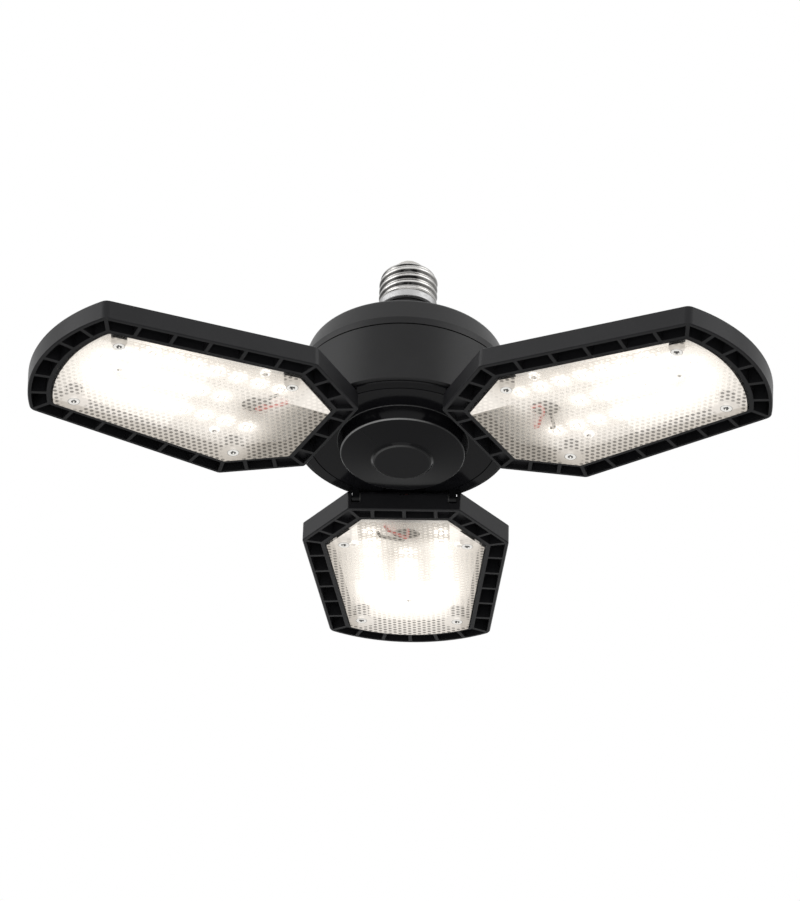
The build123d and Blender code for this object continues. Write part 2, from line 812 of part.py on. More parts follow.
def base_screws():
    """Three screws from below, through the base into the posts of the upper housing."""
    screw = rod(base_head_r, base_face_z, base_face_z + base_head_h)
    screw += rod(base_screw_r, base_face_z + base_head_h, base_top_z + base_screw_bite)
    return group([around(azimuth, post_place_r, screw) for azimuth in between_posts])


def cap_leg():
    """One snap leg of the bottom cap, hooked over the top of the base."""
    inside_z = cap_rim_z + cap_wall / 2
    hook_z = base_top_z + cap_seat_gap
    high = base_top_z + leg_hook_h
    outer = leg_r + leg_t / 2
    leg = slab(leg_r - leg_t / 2, outer, -leg_w / 2, leg_w / 2, inside_z, high)
    hook = make_face(Polyline((leg_r, 0, hook_z), (outer + leg_hook, 0, hook_z),
                              (outer - leg_hook_slope, 0, high), (leg_r, 0, high), close=True))
    return leg + extrude(hook, amount=leg_w / 2, both=True)


def bottom_cap():
    """Glossy cap over the screws: ring wall, rounded rim, shallow cone, raised button, three legs."""
    root_z = base_face_z - cap_seat_gap
    wall = cap_wall
    outer = [(cap_root_r, root_z), (cap_rim_r, cap_rim_z), (cap_cone_r, cap_cone_z),
             (cap_button_r, cap_button_z), (0, cap_button_z)]
    inner = [(0, cap_button_z + wall), (cap_cone_r - wall, cap_button_z + wall),
             (cap_cone_r, cap_cone_z + wall), (cap_rim_r - wall, cap_rim_z + wall),
             (cap_root_r - wall, root_z)]
    face = make_face(Polyline(*[(r, 0, z) for r, z in outer + inner], close=True))
    rounds = (cap_rim_round, cap_foot_round, cap_button_round)
    for radius, (r, z) in zip(rounds, outer[1:]):
        corner = face.vertices().sort_by_distance((r, 0, z))[0]
        face = fillet(corner, radius)
    body = revolve(face, Axis.Z)
    return body + [Rot(0, 0, azimuth) * cap_leg() for azimuth in station_azimuths.values()]


# Driver

def driver_board():
    """Round board on the base's standoffs, with holes for the posts."""
    board = rod(driver_r, driver_z, driver_top_z)
    clear = rod(post_r + post_gap, driver_z - beyond, driver_top_z + beyond)
    board -= [around(azimuth, post_place_r, clear) for azimuth in between_posts]
    hole = rod(driver_screw_r + 2 * screw_gap, driver_z - beyond, driver_top_z + beyond)
    return board - [around(azimuth, standoff_place_r, hole) for azimuth in between_posts]


def driver_screws():
    """Three pan-head screws that hold the board to the standoffs."""
    screw = rod(driver_head_r, driver_top_z, driver_top_z + driver_head_h)
    screw += rod(driver_screw_r, driver_z - driver_screw_bite, driver_top_z)
    return group([around(azimuth, standoff_place_r, screw) for azimuth in between_posts])


def can(place, radius, height):
    """Electrolytic capacitor: sleeve with a crimp near its foot."""
    low = driver_top_z
    crimp_z = low + can_crimp_h
    top = low + height
    waist = radius - can_edge
    body = revolved([(0, low), (waist, low), (radius, low + can_edge), (radius, crimp_z - can_crimp),
                     (waist, crimp_z), (radius, crimp_z + can_crimp), (radius, top - can_edge), (waist, top),
                     (0, top)])
    return Pos(place[0], place[1], 0) * body


def transformer_core():
    """Ferrite E core pair round the winding, as one closed frame with a centre leg."""
    width, depth, height = core_size
    x, y = transformer_place
    body = slab(-width / 2, width / 2, -depth / 2, depth / 2, 0, height)
    low = (height - core_window[1]) / 2
    window = slab(-core_window[0] / 2, core_window[0] / 2, -depth, depth, low, low + core_window[1])
    centre_leg = slab(-core_leg_w / 2, core_leg_w / 2, -depth / 2, depth / 2, low / 2, height - low / 2)
    return Pos(x, y, driver_top_z) * (body - window + centre_leg)


def transformer_winding():
    """Winding on the core's centre leg, standing a little proud each side."""
    x, y = transformer_place
    low = (core_size[2] - core_window[1]) / 2
    half = core_window[0] / 2 - winding_gap
    body = slab(-half, half, -winding_depth / 2, winding_depth / 2, low + winding_gap,
                low + core_window[1] - winding_gap)
    leg_half = core_leg_w / 2 + winding_gap / 2
    deep_half = (core_size[1] + winding_gap) / 2
    hole = slab(-leg_half, leg_half, -deep_half, deep_half, 0, core_size[2])
    return Pos(x, y, driver_top_z) * (body - hole)


def input_choke():
    """Drum-core choke with a waist of wire."""
    low = driver_top_z
    top = low + choke_h
    body = revolved([(0, low), (choke_r, low), (choke_r, low + choke_flange_h),
                     (choke_waist_r, low + choke_flange_h), (choke_waist_r, top - choke_flange_h),
                     (choke_r, top - choke_flange_h), (choke_r, top), (0, top)])
    return Pos(choke_place[0], choke_place[1], 0) * body


def bridge_rectifier():
    """Moulded rectifier with one chamfered edge."""
    width, depth, height = rectifier_size
    x, y = rectifier_place
    top = driver_top_z + height
    body = slab(x - width / 2, x + width / 2, y - depth / 2, y + depth / 2, driver_top_z, top)
    edge = body.edges().filter_by(Axis.Y).sort_by(Axis.Z)[-1]
    return chamfer(edge, rectifier_bevel)


def fuse():
    """Fusible resistor lying on the board."""
    x, y = fuse_place
    return Pos(x - fuse_l / 2, y, driver_top_z + fuse_r) * Rot(0, 90, 0) * rod(fuse_r, 0, fuse_l)


def panel_plugs():
    """Three wire plugs on the driver, one for each panel."""
    low = driver_top_z
    across, deep, height = plug_size
    plug = slab(-deep / 2, deep / 2, -across / 2, across / 2, low, low + height)
    key = slab(deep / 2 - plug_key, deep / 2 + beyond, -across / 6, across / 6, low + height / 2,
               low + height + beyond)
    return group([around(azimuth, plug_place_r, plug - key) for azimuth in station_azimuths.values()])


def output_leads():
    """Three pairs of wires from the driver down through the outlets."""
    lead = rod(wire_r, base_face_z + well_depth - grommet_flange_t - wire_tail, driver_z)
    pair = [Pos(outlet_r, side * wire_half_pitch, 0) * lead for side in (1, -1)]
    return group([Rot(0, 0, azimuth) * wire for azimuth in station_azimuths.values() for wire in pair])


def outlet_grommets():
    """Flanged bushes in the base's cable outlets."""
    ceiling = base_face_z + well_depth
    flange_z = ceiling - grommet_flange_t
    body = rod(outlet_hole_r - screw_gap, ceiling, base_top_z)
    body += rod(grommet_flange_r, flange_z, ceiling)
    body -= rod(grommet_bore_r, flange_z - beyond, base_top_z + beyond)
    return group([around(azimuth, outlet_r, body) for azimuth in station_azimuths.values()])


def cap_lead(start, place):
    """Wire down the neck from a start point, then slanting over and down to the driver."""
    straight_z = -neck_h - cap_lead_drop
    points = [start, (start[0], start[1], straight_z), (place[0], place[1], straight_z - cap_lead_slant),
              (place[0], place[1], driver_top_z)]
    return tube(points, cap_lead_r, cap_lead_bend)


def live_lead():
    """Wire from the centre contact to the driver."""
    return cap_lead((0, 0, contact_foot_z), live_lead_place)


def neutral_lead():
    """Wire from the shell's wall to the driver."""
    inside = plug_bore_r - cap_lead_r - screw_gap
    return cap_lead((inside, 0, plug_h), neutral_lead_place)


# Assembly

def panel_place(name):
    """Where a panel hangs at rest: out at its station, tilted about its hinge."""
    hung = Pos(hinge_r, 0, hinge_z) * Rot(0, -rest_tilts[name], 0) * Pos(-pivot_u, 0, -pivot_w)
    return Rot(0, 0, station_azimuths[name]) * hung


def panel_pieces():
    """Every piece of one panel, in the panel's own frame."""
    return {
        "frame": panel_frame(),
        "lens": lens(),
        "lens_screws": lens_screws(),
        "led_board": led_board(),
        "led_chips": led_chips(),
        "board_screws": board_screws(),
        "hinge_pins": hinge_pins(),
        "friction_washers": friction_washers(),
        "red_lead": panel_lead(-1, 0.0, red_pad),
        "black_lead": panel_lead(1, black_lag, black_pad),
    }


def hub_pieces():
    """Every piece of the hub, in the lamp's frame."""
    return {
        "cap_shell": cap_shell(),
        "cap_insulator": cap_insulator(),
        "centre_contact": centre_contact(),
        "upper_housing": upper_housing(),
        "drum": drum(),
        "hinge_base": hinge_base(),
        "base_screws": base_screws(),
        "bottom_cap": bottom_cap(),
        "outlet_grommets": outlet_grommets(),
        "driver_board": driver_board(),
        "driver_screws": driver_screws(),
        "bulk_capacitor": can(bulk_cap_place, bulk_cap_r, bulk_cap_h),
        "output_capacitor": can(output_cap_place, output_cap_r, output_cap_h),
        "transformer_core": transformer_core(),
        "transformer_winding": transformer_winding(),
        "input_choke": input_choke(),
        "bridge_rectifier": bridge_rectifier(),
        "fuse": fuse(),
        "panel_plugs": panel_plugs(),
        "output_leads": output_leads(),
        "live_lead": live_lead(),
        "neutral_lead": neutral_lead(),
    }


def assembly():
    """All nodes of the lamp at rest."""
    nodes = hub_pieces()
    for piece, shape in panel_pieces().items():
        for name in station_azimuths:
            nodes[f"{name}_{piece}"] = panel_place(name) * shape
    return nodes


os.makedirs("parts", exist_ok=True)
for node, shape in assembly().items():
    export_step(shape, f"parts/{node}.step")
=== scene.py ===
"""Three-panel ceiling lamp: finishes, dimpled lenses, threaded cap, screws and stage.

Metres, +Z up, in the frame of the packed model. A panel's own frame has u from the hub edge
outwards, v across and w from the lit face to the back.
"""

import json
import math

import bmesh
import bpy
from mathutils import Matrix, Vector


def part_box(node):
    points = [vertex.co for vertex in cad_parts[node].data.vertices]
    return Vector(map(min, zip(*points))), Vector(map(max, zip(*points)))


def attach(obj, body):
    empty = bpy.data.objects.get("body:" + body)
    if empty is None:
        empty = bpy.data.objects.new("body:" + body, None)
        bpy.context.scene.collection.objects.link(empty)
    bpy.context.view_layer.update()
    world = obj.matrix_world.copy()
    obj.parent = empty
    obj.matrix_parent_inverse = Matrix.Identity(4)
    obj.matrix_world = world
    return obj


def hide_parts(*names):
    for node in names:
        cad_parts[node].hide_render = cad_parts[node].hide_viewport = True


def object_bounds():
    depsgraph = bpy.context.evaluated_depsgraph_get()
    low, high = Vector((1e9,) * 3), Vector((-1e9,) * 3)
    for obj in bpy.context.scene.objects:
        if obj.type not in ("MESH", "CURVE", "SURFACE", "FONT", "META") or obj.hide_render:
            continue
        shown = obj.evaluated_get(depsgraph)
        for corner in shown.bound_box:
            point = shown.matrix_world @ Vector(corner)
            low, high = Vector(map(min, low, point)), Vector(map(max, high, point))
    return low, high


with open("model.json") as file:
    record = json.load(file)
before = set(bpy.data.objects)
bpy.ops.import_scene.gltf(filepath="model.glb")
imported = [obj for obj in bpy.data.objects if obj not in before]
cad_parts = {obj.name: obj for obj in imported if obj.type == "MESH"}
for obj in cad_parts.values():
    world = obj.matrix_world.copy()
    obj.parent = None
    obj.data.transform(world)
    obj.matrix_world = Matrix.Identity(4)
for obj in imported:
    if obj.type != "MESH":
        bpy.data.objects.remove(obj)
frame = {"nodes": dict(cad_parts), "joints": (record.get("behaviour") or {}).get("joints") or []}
cad_low, cad_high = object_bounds()

bl_info = {
    "name": "Three-Panel Ceiling Lamp",
    "version": (1, 0, 0),
    "blender": (4, 5, 0),
    "location": "View3D > Sidebar > Lamp",
    "description": "Dresses the packed ceiling lamp with its finishes, lenses, screws and stage",
    "category": "Object",
}

MM = 0.001
PANELS = ("left", "right", "rear")

# Panel layout, in the panel's frame
PIVOT = Vector((3.2, 0.0, 6.8)) * MM
HIGHEST_TILT = 10.0
LENS_FRONT_W = -1.0 * MM
LENS_BACK_W = 1.3 * MM
BOARD_FRONT_W = 5.9 * MM
LENS_SCREW_INNER = Vector((33.2, 27.7, 0.0)) * MM
LENS_SCREW_OUTER = Vector((110.6, 22.4, 0.0)) * MM
BOARD_SCREW_INNER = Vector((44.0, 24.0, 0.0)) * MM
BOARD_SCREW_OUTER = Vector((100.0, 0.0, 0.0)) * MM
COUNTERSUNK_R = 2.6 * MM
PAN_HEAD_H = 1.2 * MM

# Light sources: two legs, a middle row and a bow across the tip
LEG_V = 16.0 * MM
LEG_START_U = 32.5 * MM
MIDDLE_START_U = 52.5 * MM
ROWS_END_U = 92.5 * MM
CHIP_PITCH = 10.0 * MM
BOW_CHIPS = ((101.5, 12.0), (109.5, 5.0))
BOW_CENTRE_U = 96.5 * MM
BOW_R = 13.5 * MM

# Fields of the lens: dimple lattice, calm hub end between its sides, wire hole and outer part
LATTICE_U = 68.0 * MM
CALM_END_U = 28.0 * MM
CALM_SIDES = {
    "left": (-40.0 * MM, 17.0 * MM),
    "right": (-17.8 * MM, 40.0 * MM),
    "rear": (-20.0 * MM, 21.0 * MM),
}
WIRE_HOLE_U = 39.0 * MM
WIRE_HOLE_V = {"left": 5.0 * MM, "right": -5.0 * MM, "rear": 5.0 * MM}
BOARD_GAINS = {"left": 1.0, "right": 1.0, "rear": 1.5}
OUTER_FIELD_U = 68.0 * MM
OUTER_FIELD_V = 24.0 * MM
SCREW_PAD_R = 5.0 * MM
SCREW_PAD_END_R = 8.5 * MM
HOLE_SHADE_REACH = 8.0 * MM

# Conductor under the board's lacquer: inner and outer edge either side of the legs' middle
TRACK_IN = 3.2 * MM
TRACK_OUT = 4.6 * MM

# Collar of the screw cap: (inset, height) in millimetres, for a collar of the height below
COLLAR_PROFILE = ((-0.25, 0.0), (0.0, 0.25), (0.0, 1.3), (0.0, 2.6), (0.0, 3.3), (-0.15, 3.55),
                  (-0.5, 3.7), (-0.5, 3.85), (-0.2, 4.1), (-0.1, 4.3), (-0.2, 4.55), (-0.8, 4.85))
COLLAR_PROFILE_H = 4.0

# Height of the camera's frame, in the millimetres that its focal length is given in
FRAME_HEIGHT = 36.0

# Steps round turned pieces
CAP_STEPS = 128
SCREW_STEPS = 32
FLOOR_STEPS = 96
THREAD_ROWS = 90
MOUTH_BENDS = 8


def panel_place(name):
    """Matrix that takes a panel's own frame to where the panel hangs at rest."""
    joint = next(j for j in frame["joints"] if j["child"] == f"{name}_panel")
    outward = Vector((0, 0, 1)).cross(Vector(joint["axis"]))
    azimuth = math.atan2(outward.y, outward.x)
    tilt = math.radians(HIGHEST_TILT - joint["range_deg"][1])
    return (Matrix.Translation(joint["pos_m"]) @ Matrix.Rotation(azimuth, 4, "Z")
            @ Matrix.Rotation(-tilt, 4, "Y") @ Matrix.Translation(-PIVOT))


def grey(level):
    """Neutral colour of a level."""
    return (level, level, level)


def toned(base, factor, lift=0.0):
    """A colour made lighter or darker by a factor and a lift."""
    return tuple(min(1.0, part * factor + lift) for part in base)


# Node trees

class Value:
    """A number on a node's output. Sums and products of it add Math nodes to its tree."""

    def __init__(self, graph, socket):
        self.graph = graph
        self.socket = socket

    def __add__(self, other):
        return self.graph.math("ADD", self, other)

    def __sub__(self, other):
        return self.graph.math("SUBTRACT", self, other)

    def __rsub__(self, other):
        return self.graph.math("SUBTRACT", other, self)

    def __mul__(self, other):
        return self.graph.math("MULTIPLY", self, other)

    def __truediv__(self, other):
        return self.graph.math("DIVIDE", self, other)

    def __pow__(self, other):
        return self.graph.math("POWER", self, other)

    def __abs__(self):
        return self.graph.math("ABSOLUTE", self)

    __radd__ = __add__
    __rmul__ = __mul__


class Graph:
    """A node tree under construction."""

    def __init__(self, tree):
        self.tree = tree

    def node(self, kind, sockets=None, **settings):
        """New node: its settings first, then the values or links of its sockets."""
        node = self.tree.nodes.new(kind)
        for key, value in settings.items():
            setattr(node, key, value)
        for key, value in (sockets or {}).items():
            self.feed(node.inputs[key], value)
        return node

    def feed(self, socket, value):
        """Links a socket, or sets its value."""
        if isinstance(value, Value):
            value = value.socket
        if isinstance(value, bpy.types.NodeSocket):
            self.tree.links.new(value, socket)
        elif socket.type == "RGBA" and len(value) == 3:
            socket.default_value = (*value, 1.0)
        else:
            socket.default_value = value

    def math(self, operation, *terms, clamp=False):
        """One Math node on numbers or values."""
        sockets = dict(enumerate(terms))
        node = self.node("ShaderNodeMath", sockets, operation=operation, use_clamp=clamp)
        return Value(self, node.outputs[0])

    def within(self, value, low, high):
        """The value held between two limits."""
        return self.math("MINIMUM", self.math("MAXIMUM", value, low), high)

    def share(self, value, start, end):
        """0 to 1 as the value goes from start to end."""
        return self.math("MULTIPLY", value - start, 1.0 / (end - start), clamp=True)

    def step_up(self, value, border, half):
        """0 to 1 as the value crosses a border, in a band of half its width either side."""
        return self.share(value, border - half, border + half)

    def step_down(self, value, border, half):
        """1 to 0 as the value crosses a border, in a band of half its width either side."""
        return self.share(value, border + half, border - half)

    def root_of_squares(self, first, second):
        """Length of a line with the two numbers as its parts."""
        return self.math("SQRT", first * first + second * second)

    def parts(self, vector):
        """The three numbers of a vector."""
        node = self.node("ShaderNodeSeparateXYZ", {0: vector})
        return [Value(self, out) for out in node.outputs]

    def vector(self, operation, *terms):
        """One Vector Math node on vectors."""
        node = self.node("ShaderNodeVectorMath", dict(enumerate(terms)), operation=operation)
        return node.outputs[0]

    def joined(self, x, y, z):
        """A vector from three numbers."""
        return self.node("ShaderNodeCombineXYZ", {0: x, 1: y, 2: z}).outputs[0]


class Finish(Graph):
    """A material under construction."""

    def __init__(self, name):
        self.material = bpy.data.materials.new(name)
        self.material.use_nodes = True
        super().__init__(self.material.node_tree)
        self.tree.nodes.clear()

    def place(self, frame_matrix=None):
        """Object coordinates, or those of a frame that is set in the object by a matrix."""
        place = self.node("ShaderNodeTexCoord").outputs["Object"]
        if frame_matrix is None:
            return place
        sockets = {"Vector": place, "Location": frame_matrix.translation,
                   "Rotation": frame_matrix.to_euler("XYZ")}
        return self.node("ShaderNodeMapping", sockets, vector_type="TEXTURE").outputs[0]

    def noise(self, place, size, detail=2.0, roughness=0.5):
        """Noise with grains of about the size given, in metres."""
        sockets = {"Vector": place, "Scale": 1.0 / size, "Detail": detail, "Roughness": roughness}
        return Value(self, self.node("ShaderNodeTexNoise", sockets).outputs[0])

    def blend(self, factor, first, second, mode="MIX"):
        """Mix of two colours."""
        sockets = {0: factor, 6: first, 7: second}
        return self.node("ShaderNodeMix", sockets, data_type="RGBA", blend_type=mode).outputs[2]

    def lit(self, tint, level):
        """Light of a tint at a level."""
        return self.blend(1.0, tint, self.joined(level, level, level), "MULTIPLY")

    def bump(self, height, depth):
        """Normal of a surface raised by height times depth."""
        sockets = {"Height": height, "Distance": depth, "Strength": 1.0}
        return self.node("ShaderNodeBump", sockets).outputs[0]

    def shade(self, sockets, glow=None, strength=1.0):
        """Ends the tree in one surface shader, with a glow if one is given."""
        if glow is not None:
            sockets.update({"Emission Color": glow, "Emission Strength": strength})
        shader = self.node("ShaderNodeBsdfPrincipled", sockets)
        self.node("ShaderNodeOutputMaterial", {"Surface": shader.outputs[0]})
        return self.material


class Recipe(Graph):
    """A Geometry Nodes tree with named inputs, which ends in plain mesh with one material."""

    kinds = {float: "NodeSocketFloat", int: "NodeSocketInt", Vector: "NodeSocketVector",
             bpy.types.Material: "NodeSocketMaterial"}

    def __init__(self, name, inputs):
        super().__init__(bpy.data.node_groups.new(name, "GeometryNodeTree"))
        self.inputs = inputs
        self.sockets = {}
        interface = self.tree.interface
        interface.new_socket("Geometry", in_out="INPUT", socket_type="NodeSocketGeometry")
        for label, value in inputs.items():
            kind = self.kinds[type(value)]
            self.sockets[label] = interface.new_socket(label, in_out="INPUT", socket_type=kind)
        interface.new_socket("Geometry", in_out="OUTPUT", socket_type="NodeSocketGeometry")
        self.inlet = self.node("NodeGroupInput")
        self.blank = self.inlet.outputs["Geometry"]

    def given(self, label):
        """An input's value."""
        return Value(self, self.inlet.outputs[label])

    def made(self, kind, sockets=None, **settings):
        """First output of a new geometry node."""
        return self.node(f"GeometryNode{kind}", sockets, **settings).outputs[0]

    def together(self, pieces):
        """Several geometries as one."""
        joined = self.node("GeometryNodeJoinGeometry")
        for piece in pieces:
            self.tree.links.new(piece, joined.inputs[0])
        return joined.outputs[0]

    def shifted(self, geometry, height, turn=0.0):
        """Geometry turned about Z and moved along it."""
        return self.made("Transform", {"Geometry": geometry, "Rotation": (0.0, 0.0, turn),
                                       "Translation": self.joined(0.0, 0.0, height)})

    def end(self, geometry):
        """Makes every instance real, gives all the material and ends the tree."""
        real = self.made("RealizeInstances", {0: geometry})
        done = self.made("SetMaterial", {"Geometry": real, "Material": self.given("Material")})
        self.node("NodeGroupOutput", {"Geometry": done})
        return self

    def grow(self, name, blank):
        """Plain mesh object that the tree makes from a blank mesh."""
        piece = bpy.data.objects.new(name, blank)
        bpy.context.scene.collection.objects.link(piece)
        modifier = piece.modifiers.new("recipe", "NODES")
        modifier.node_group = self.tree
        for label, value in self.inputs.items():
            modifier[self.sockets[label].identifier] = value
        graph = bpy.context.evaluated_depsgraph_get()
        mesh = bpy.data.meshes.new_from_object(piece.evaluated_get(graph), depsgraph=graph)
        piece.modifiers.remove(modifier)
        piece.data = mesh
        mesh.name = name
        bpy.data.meshes.remove(blank)
        return piece


# Mesh helpers

def turned(name, outline, steps):
    """Closed shape turned about Z from an outline of (radius, height) points."""
    shape = bmesh.new()
    rings = []
    for radius, height in outline:
        if radius == 0:
            rings.append([shape.verts.new((0, 0, height))] * steps)
            continue
        turns = [2 * math.pi * k / steps for k in range(steps)]
        rings.append([shape.verts.new((radius * math.cos(turn), radius * math.sin(turn), height))
                      for turn in turns])
    pairs = list(zip(rings, rings[1:]))
    if outline[0][0] > 0:
        pairs.append((rings[-1], rings[0]))
    for low, high in pairs:
        for k in range(steps):
            after = (k + 1) % steps
            corners = dict.fromkeys((low[k], low[after], high[after], high[k]))
            shape.faces.new(corners)
    bmesh.ops.recalc_face_normals(shape, faces=shape.faces)
    mesh = bpy.data.meshes.new(name)
    shape.to_mesh(mesh)
    shape.free()
    return mesh


def merged_copy(node, place):
    """A CAD node's mesh in a panel's own frame, with its loose triangles joined up."""
    weld = 0.002 * MM
    flat = math.radians(0.5)
    mesh = frame["nodes"][node].data.copy()
    mesh.transform(place.inverted())
    shape = bmesh.new()
    shape.from_mesh(mesh)
    bmesh.ops.remove_doubles(shape, verts=shape.verts, dist=weld)
    bmesh.ops.dissolve_limit(shape, angle_limit=flat, verts=shape.verts, edges=shape.edges)
    shape.to_mesh(mesh)
    shape.free()
    return mesh


def seat(piece, body, node, place=None):
    """Puts a finished piece in its place on its body, in the stead of a CAD node."""
    if place is not None:
        piece.data.transform(place)
    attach(piece, body)
    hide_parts(node)


def smooth_below(piece, degrees):
    """Smooth shading, with edges sharper than the angle kept sharp."""
    piece.data.shade_smooth()
    piece.data.set_sharp_from_angle(angle=math.radians(degrees))


def dress(material, *nodes):
    """Gives CAD nodes a finish."""
    for node in nodes:
        data = frame["nodes"][node].data
        data.materials.clear()
        data.materials.append(material)


# Finishes

def cast_black(name, colour, roughness, specular, grain, depth):
    """Black coat on a casting or moulding: fine grain over slow drifts of tone and gloss."""
    finish = Finish(name)
    place = finish.place()
    drift_size = 18.0 * MM
    dust_size = 0.9 * MM
    fine = finish.noise(place, grain, 3.0, 0.6)
    drift = finish.noise(place, drift_size)
    dust = finish.share(finish.noise(place, dust_size, 4.0, 0.7), 0.62, 0.78)
    tone = finish.blend(drift, colour, toned(colour, 1.7, 0.004))
    tone = finish.blend(dust * 0.12, tone, grey(0.09))
    rough = roughness - 0.06 + drift * 0.12 + (fine - 0.5) * 0.1
    return finish.shade({"Base Color": tone, "Roughness": rough, "Specular IOR Level": specular,
                         "Normal": finish.bump(fine, depth)})


def gloss_black(name, colour, edges):
    """Polished black moulding: faint waves, fine rubs, settled dust and edges rubbed bright.

    Each edge is a ring round the axis: radius, height and reach of the rubbed line, its brightness
    all round and what it gains towards the front left.
    """
    finish = Finish(name)
    place = finish.place()
    wave_size = 30.0 * MM
    rub_size = 0.5 * MM
    rub_heading = (0.0, 0.0, 0.6)
    rub_stretch = (1.0, 0.06, 1.0)
    dust_size = 0.7 * MM
    highlight_core = 0.35
    x, y, z = finish.parts(place)
    radius = finish.root_of_squares(x, y)
    wave = finish.noise(place, wave_size)
    sockets = {"Vector": place, "Rotation": rub_heading, "Scale": rub_stretch}
    stretched = finish.node("ShaderNodeMapping", sockets).outputs[0]
    rubs = finish.share(finish.noise(stretched, rub_size, 3.0), 0.6, 0.8)
    dust = finish.share(finish.noise(place, dust_size, 4.0, 0.75), 0.66, 0.8)
    tone = finish.blend(dust * 0.2, colour, grey(0.12))
    # Painted highlights on the edges grow stronger towards the front left, where the light falls
    highlight_side = finish.share((y * -0.85 - x * 0.5) / radius, 0.45, 0.95)
    for edge_r, edge_z, reach, highlight_all_round, gain in edges:
        away = finish.math("SQRT", (radius - edge_r) ** 2.0 + (z - edge_z) ** 2.0)
        # Painted highlight: a bright line in the base colour along each edge ring
        line = finish.share(away, reach, reach * highlight_core) * (highlight_all_round + highlight_side * gain)
        tone = finish.blend(line, tone, grey(0.6))
    rough = 0.1 + wave * 0.05 + rubs * 0.1 + dust * 0.2
    return finish.shade({"Base Color": tone, "Roughness": rough, "Specular IOR Level": 0.14,
                         "Normal": finish.bump(wave, 0.05 * MM)})


def plated_shell(name, colour, cap):
    """Nickel-plated shell: drawn rings round the axis, bright crests and dark lower flanks."""
    finish = Finish(name)
    place = finish.place()
    ring_size = 0.12 * MM
    stain_size = 3.2 * MM
    flank_turn = 0.2
    fade_in = 0.8 * MM
    fade_out = 0.6 * MM
    collar_top = cap.collar_height - 0.2 * MM
    collar_dull = cap.collar_height - 0.5 * MM
    x, y, z = finish.parts(place)
    radius = finish.root_of_squares(x, y)
    rings = finish.noise(finish.joined(0.0, 0.0, z), ring_size, 3.0, 0.7)
    stain = finish.noise(place, stain_size, 4.0, 0.65)
    turns = z / cap.pitch - finish.math("ARCTAN2", y, x) / (2 * math.pi)
    # Painted dark reflection of the hub on the thread's lower flanks
    flank_reflection = 1.0 - finish.share(abs(finish.math("FRACT", turns) - flank_turn), 0.1, 0.24)
    threaded = finish.share(z, cap.thread_start, cap.thread_start + fade_in)
    threaded = threaded * finish.share(z, cap.thread_end + fade_out, cap.thread_end)
    # The painted reflection is stronger at the front and the left, and varies with the stains
    front = finish.share(y / radius, -0.84, -0.97)
    left = finish.share(x / radius, -0.5, -0.95)
    dark = flank_reflection * threaded * (0.5 + front * 0.5 + left * 0.4 + (stain - 0.5) * 0.6)
    dull = finish.share(stain, 0.45, 0.75)
    tone = finish.blend(dull * 0.35, colour, (0.3, 0.28, 0.25))
    collar = finish.share(z, collar_top, collar_dull)
    tone = finish.blend(collar, tone, grey(0.5))
    # Painted dark reflection towards the left and right sides of the shell
    tone = finish.blend(finish.share(abs(x / radius), 0.8, 1.0) * 0.6, tone, grey(0.05))
    tone = finish.blend(finish.within(dark, 0.0, 1.0), tone, grey(0.012))
    rough = 0.14 + dull * 0.2 + rings * 0.1 + collar * 0.3
    return finish.shade({"Base Color": tone, "Metallic": 1.0, "Roughness": rough,
                         "Normal": finish.bump(rings, 0.004 * MM)})


def metal(name, colour, roughness, grain):
    """Plain worked metal with tool marks and small stains."""
    finish = Finish(name)
    place = finish.place()
    marks = finish.noise(place, grain, 4.0, 0.65)
    stain = finish.share(finish.noise(place, 6 * grain, 3.0), 0.5, 0.8)
    tone = finish.blend(stain * 0.5, colour, toned(colour, 0.45))
    rough = roughness + marks * 0.15 + stain * 0.15
    return finish.shade({"Base Color": tone, "Metallic": 1.0, "Roughness": rough,
                         "Normal": finish.bump(marks, 0.01 * MM)})


def speckled(name, colour, second, roughness, grain, depth):
    """Moulded, fired or sleeved piece: one colour that drifts to a second in small grains."""
    finish = Finish(name)
    place = finish.place()
    fine = finish.noise(place, grain, 3.0, 0.6)
    slow = finish.noise(place, 12 * grain)
    tone = finish.blend(finish.share(fine * 0.5 + slow * 0.5, 0.35, 0.65), colour, second)
    return finish.shade({"Base Color": tone, "Roughness": roughness + (fine - 0.5) * 0.15,
                         "Normal": finish.bump(fine, depth)})


def lead_sleeve(name, place, colour, lit):
    """Wire in a panel: dark sleeve by the hub edge, coloured and lit in the cavity."""
    finish = Finish(name)
    sleeve_end_u = 22.0 * MM
    cavity_u = 26.0 * MM
    u = finish.parts(finish.place(place))[0]
    fine = finish.noise(finish.place(), 1.0 * MM, 3.0)
    bare = finish.share(u, sleeve_end_u, cavity_u)
    tone = finish.blend(bare, grey(0.012), colour)
    tone = finish.blend(fine * 0.3, tone, toned(colour, 0.6))
    # Painted glow of the panel's light on the bare wire in the cavity
    glow = finish.blend(bare, grey(0.0), toned(colour, lit))
    return finish.shade({"Base Color": tone, "Roughness": 0.4 + fine * 0.1,
                         "Normal": finish.bump(fine, 0.01 * MM)}, glow)


def wound(name, colour, second, pitch, roughness):
    """Tape or wire wound in close turns, level with the board."""
    finish = Finish(name)
    place = finish.place()
    height = finish.parts(place)[2]
    turns = abs(finish.math("SINE", height * (math.pi / pitch)))
    wear = finish.noise(place, 0.8 * MM, 3.0)
    tone = finish.blend(finish.share(turns + wear * 0.3, 0.1, 0.5), second, colour)
    return finish.shade({"Base Color": tone, "Roughness": roughness, "Normal": finish.bump(turns, 0.2 * MM)})


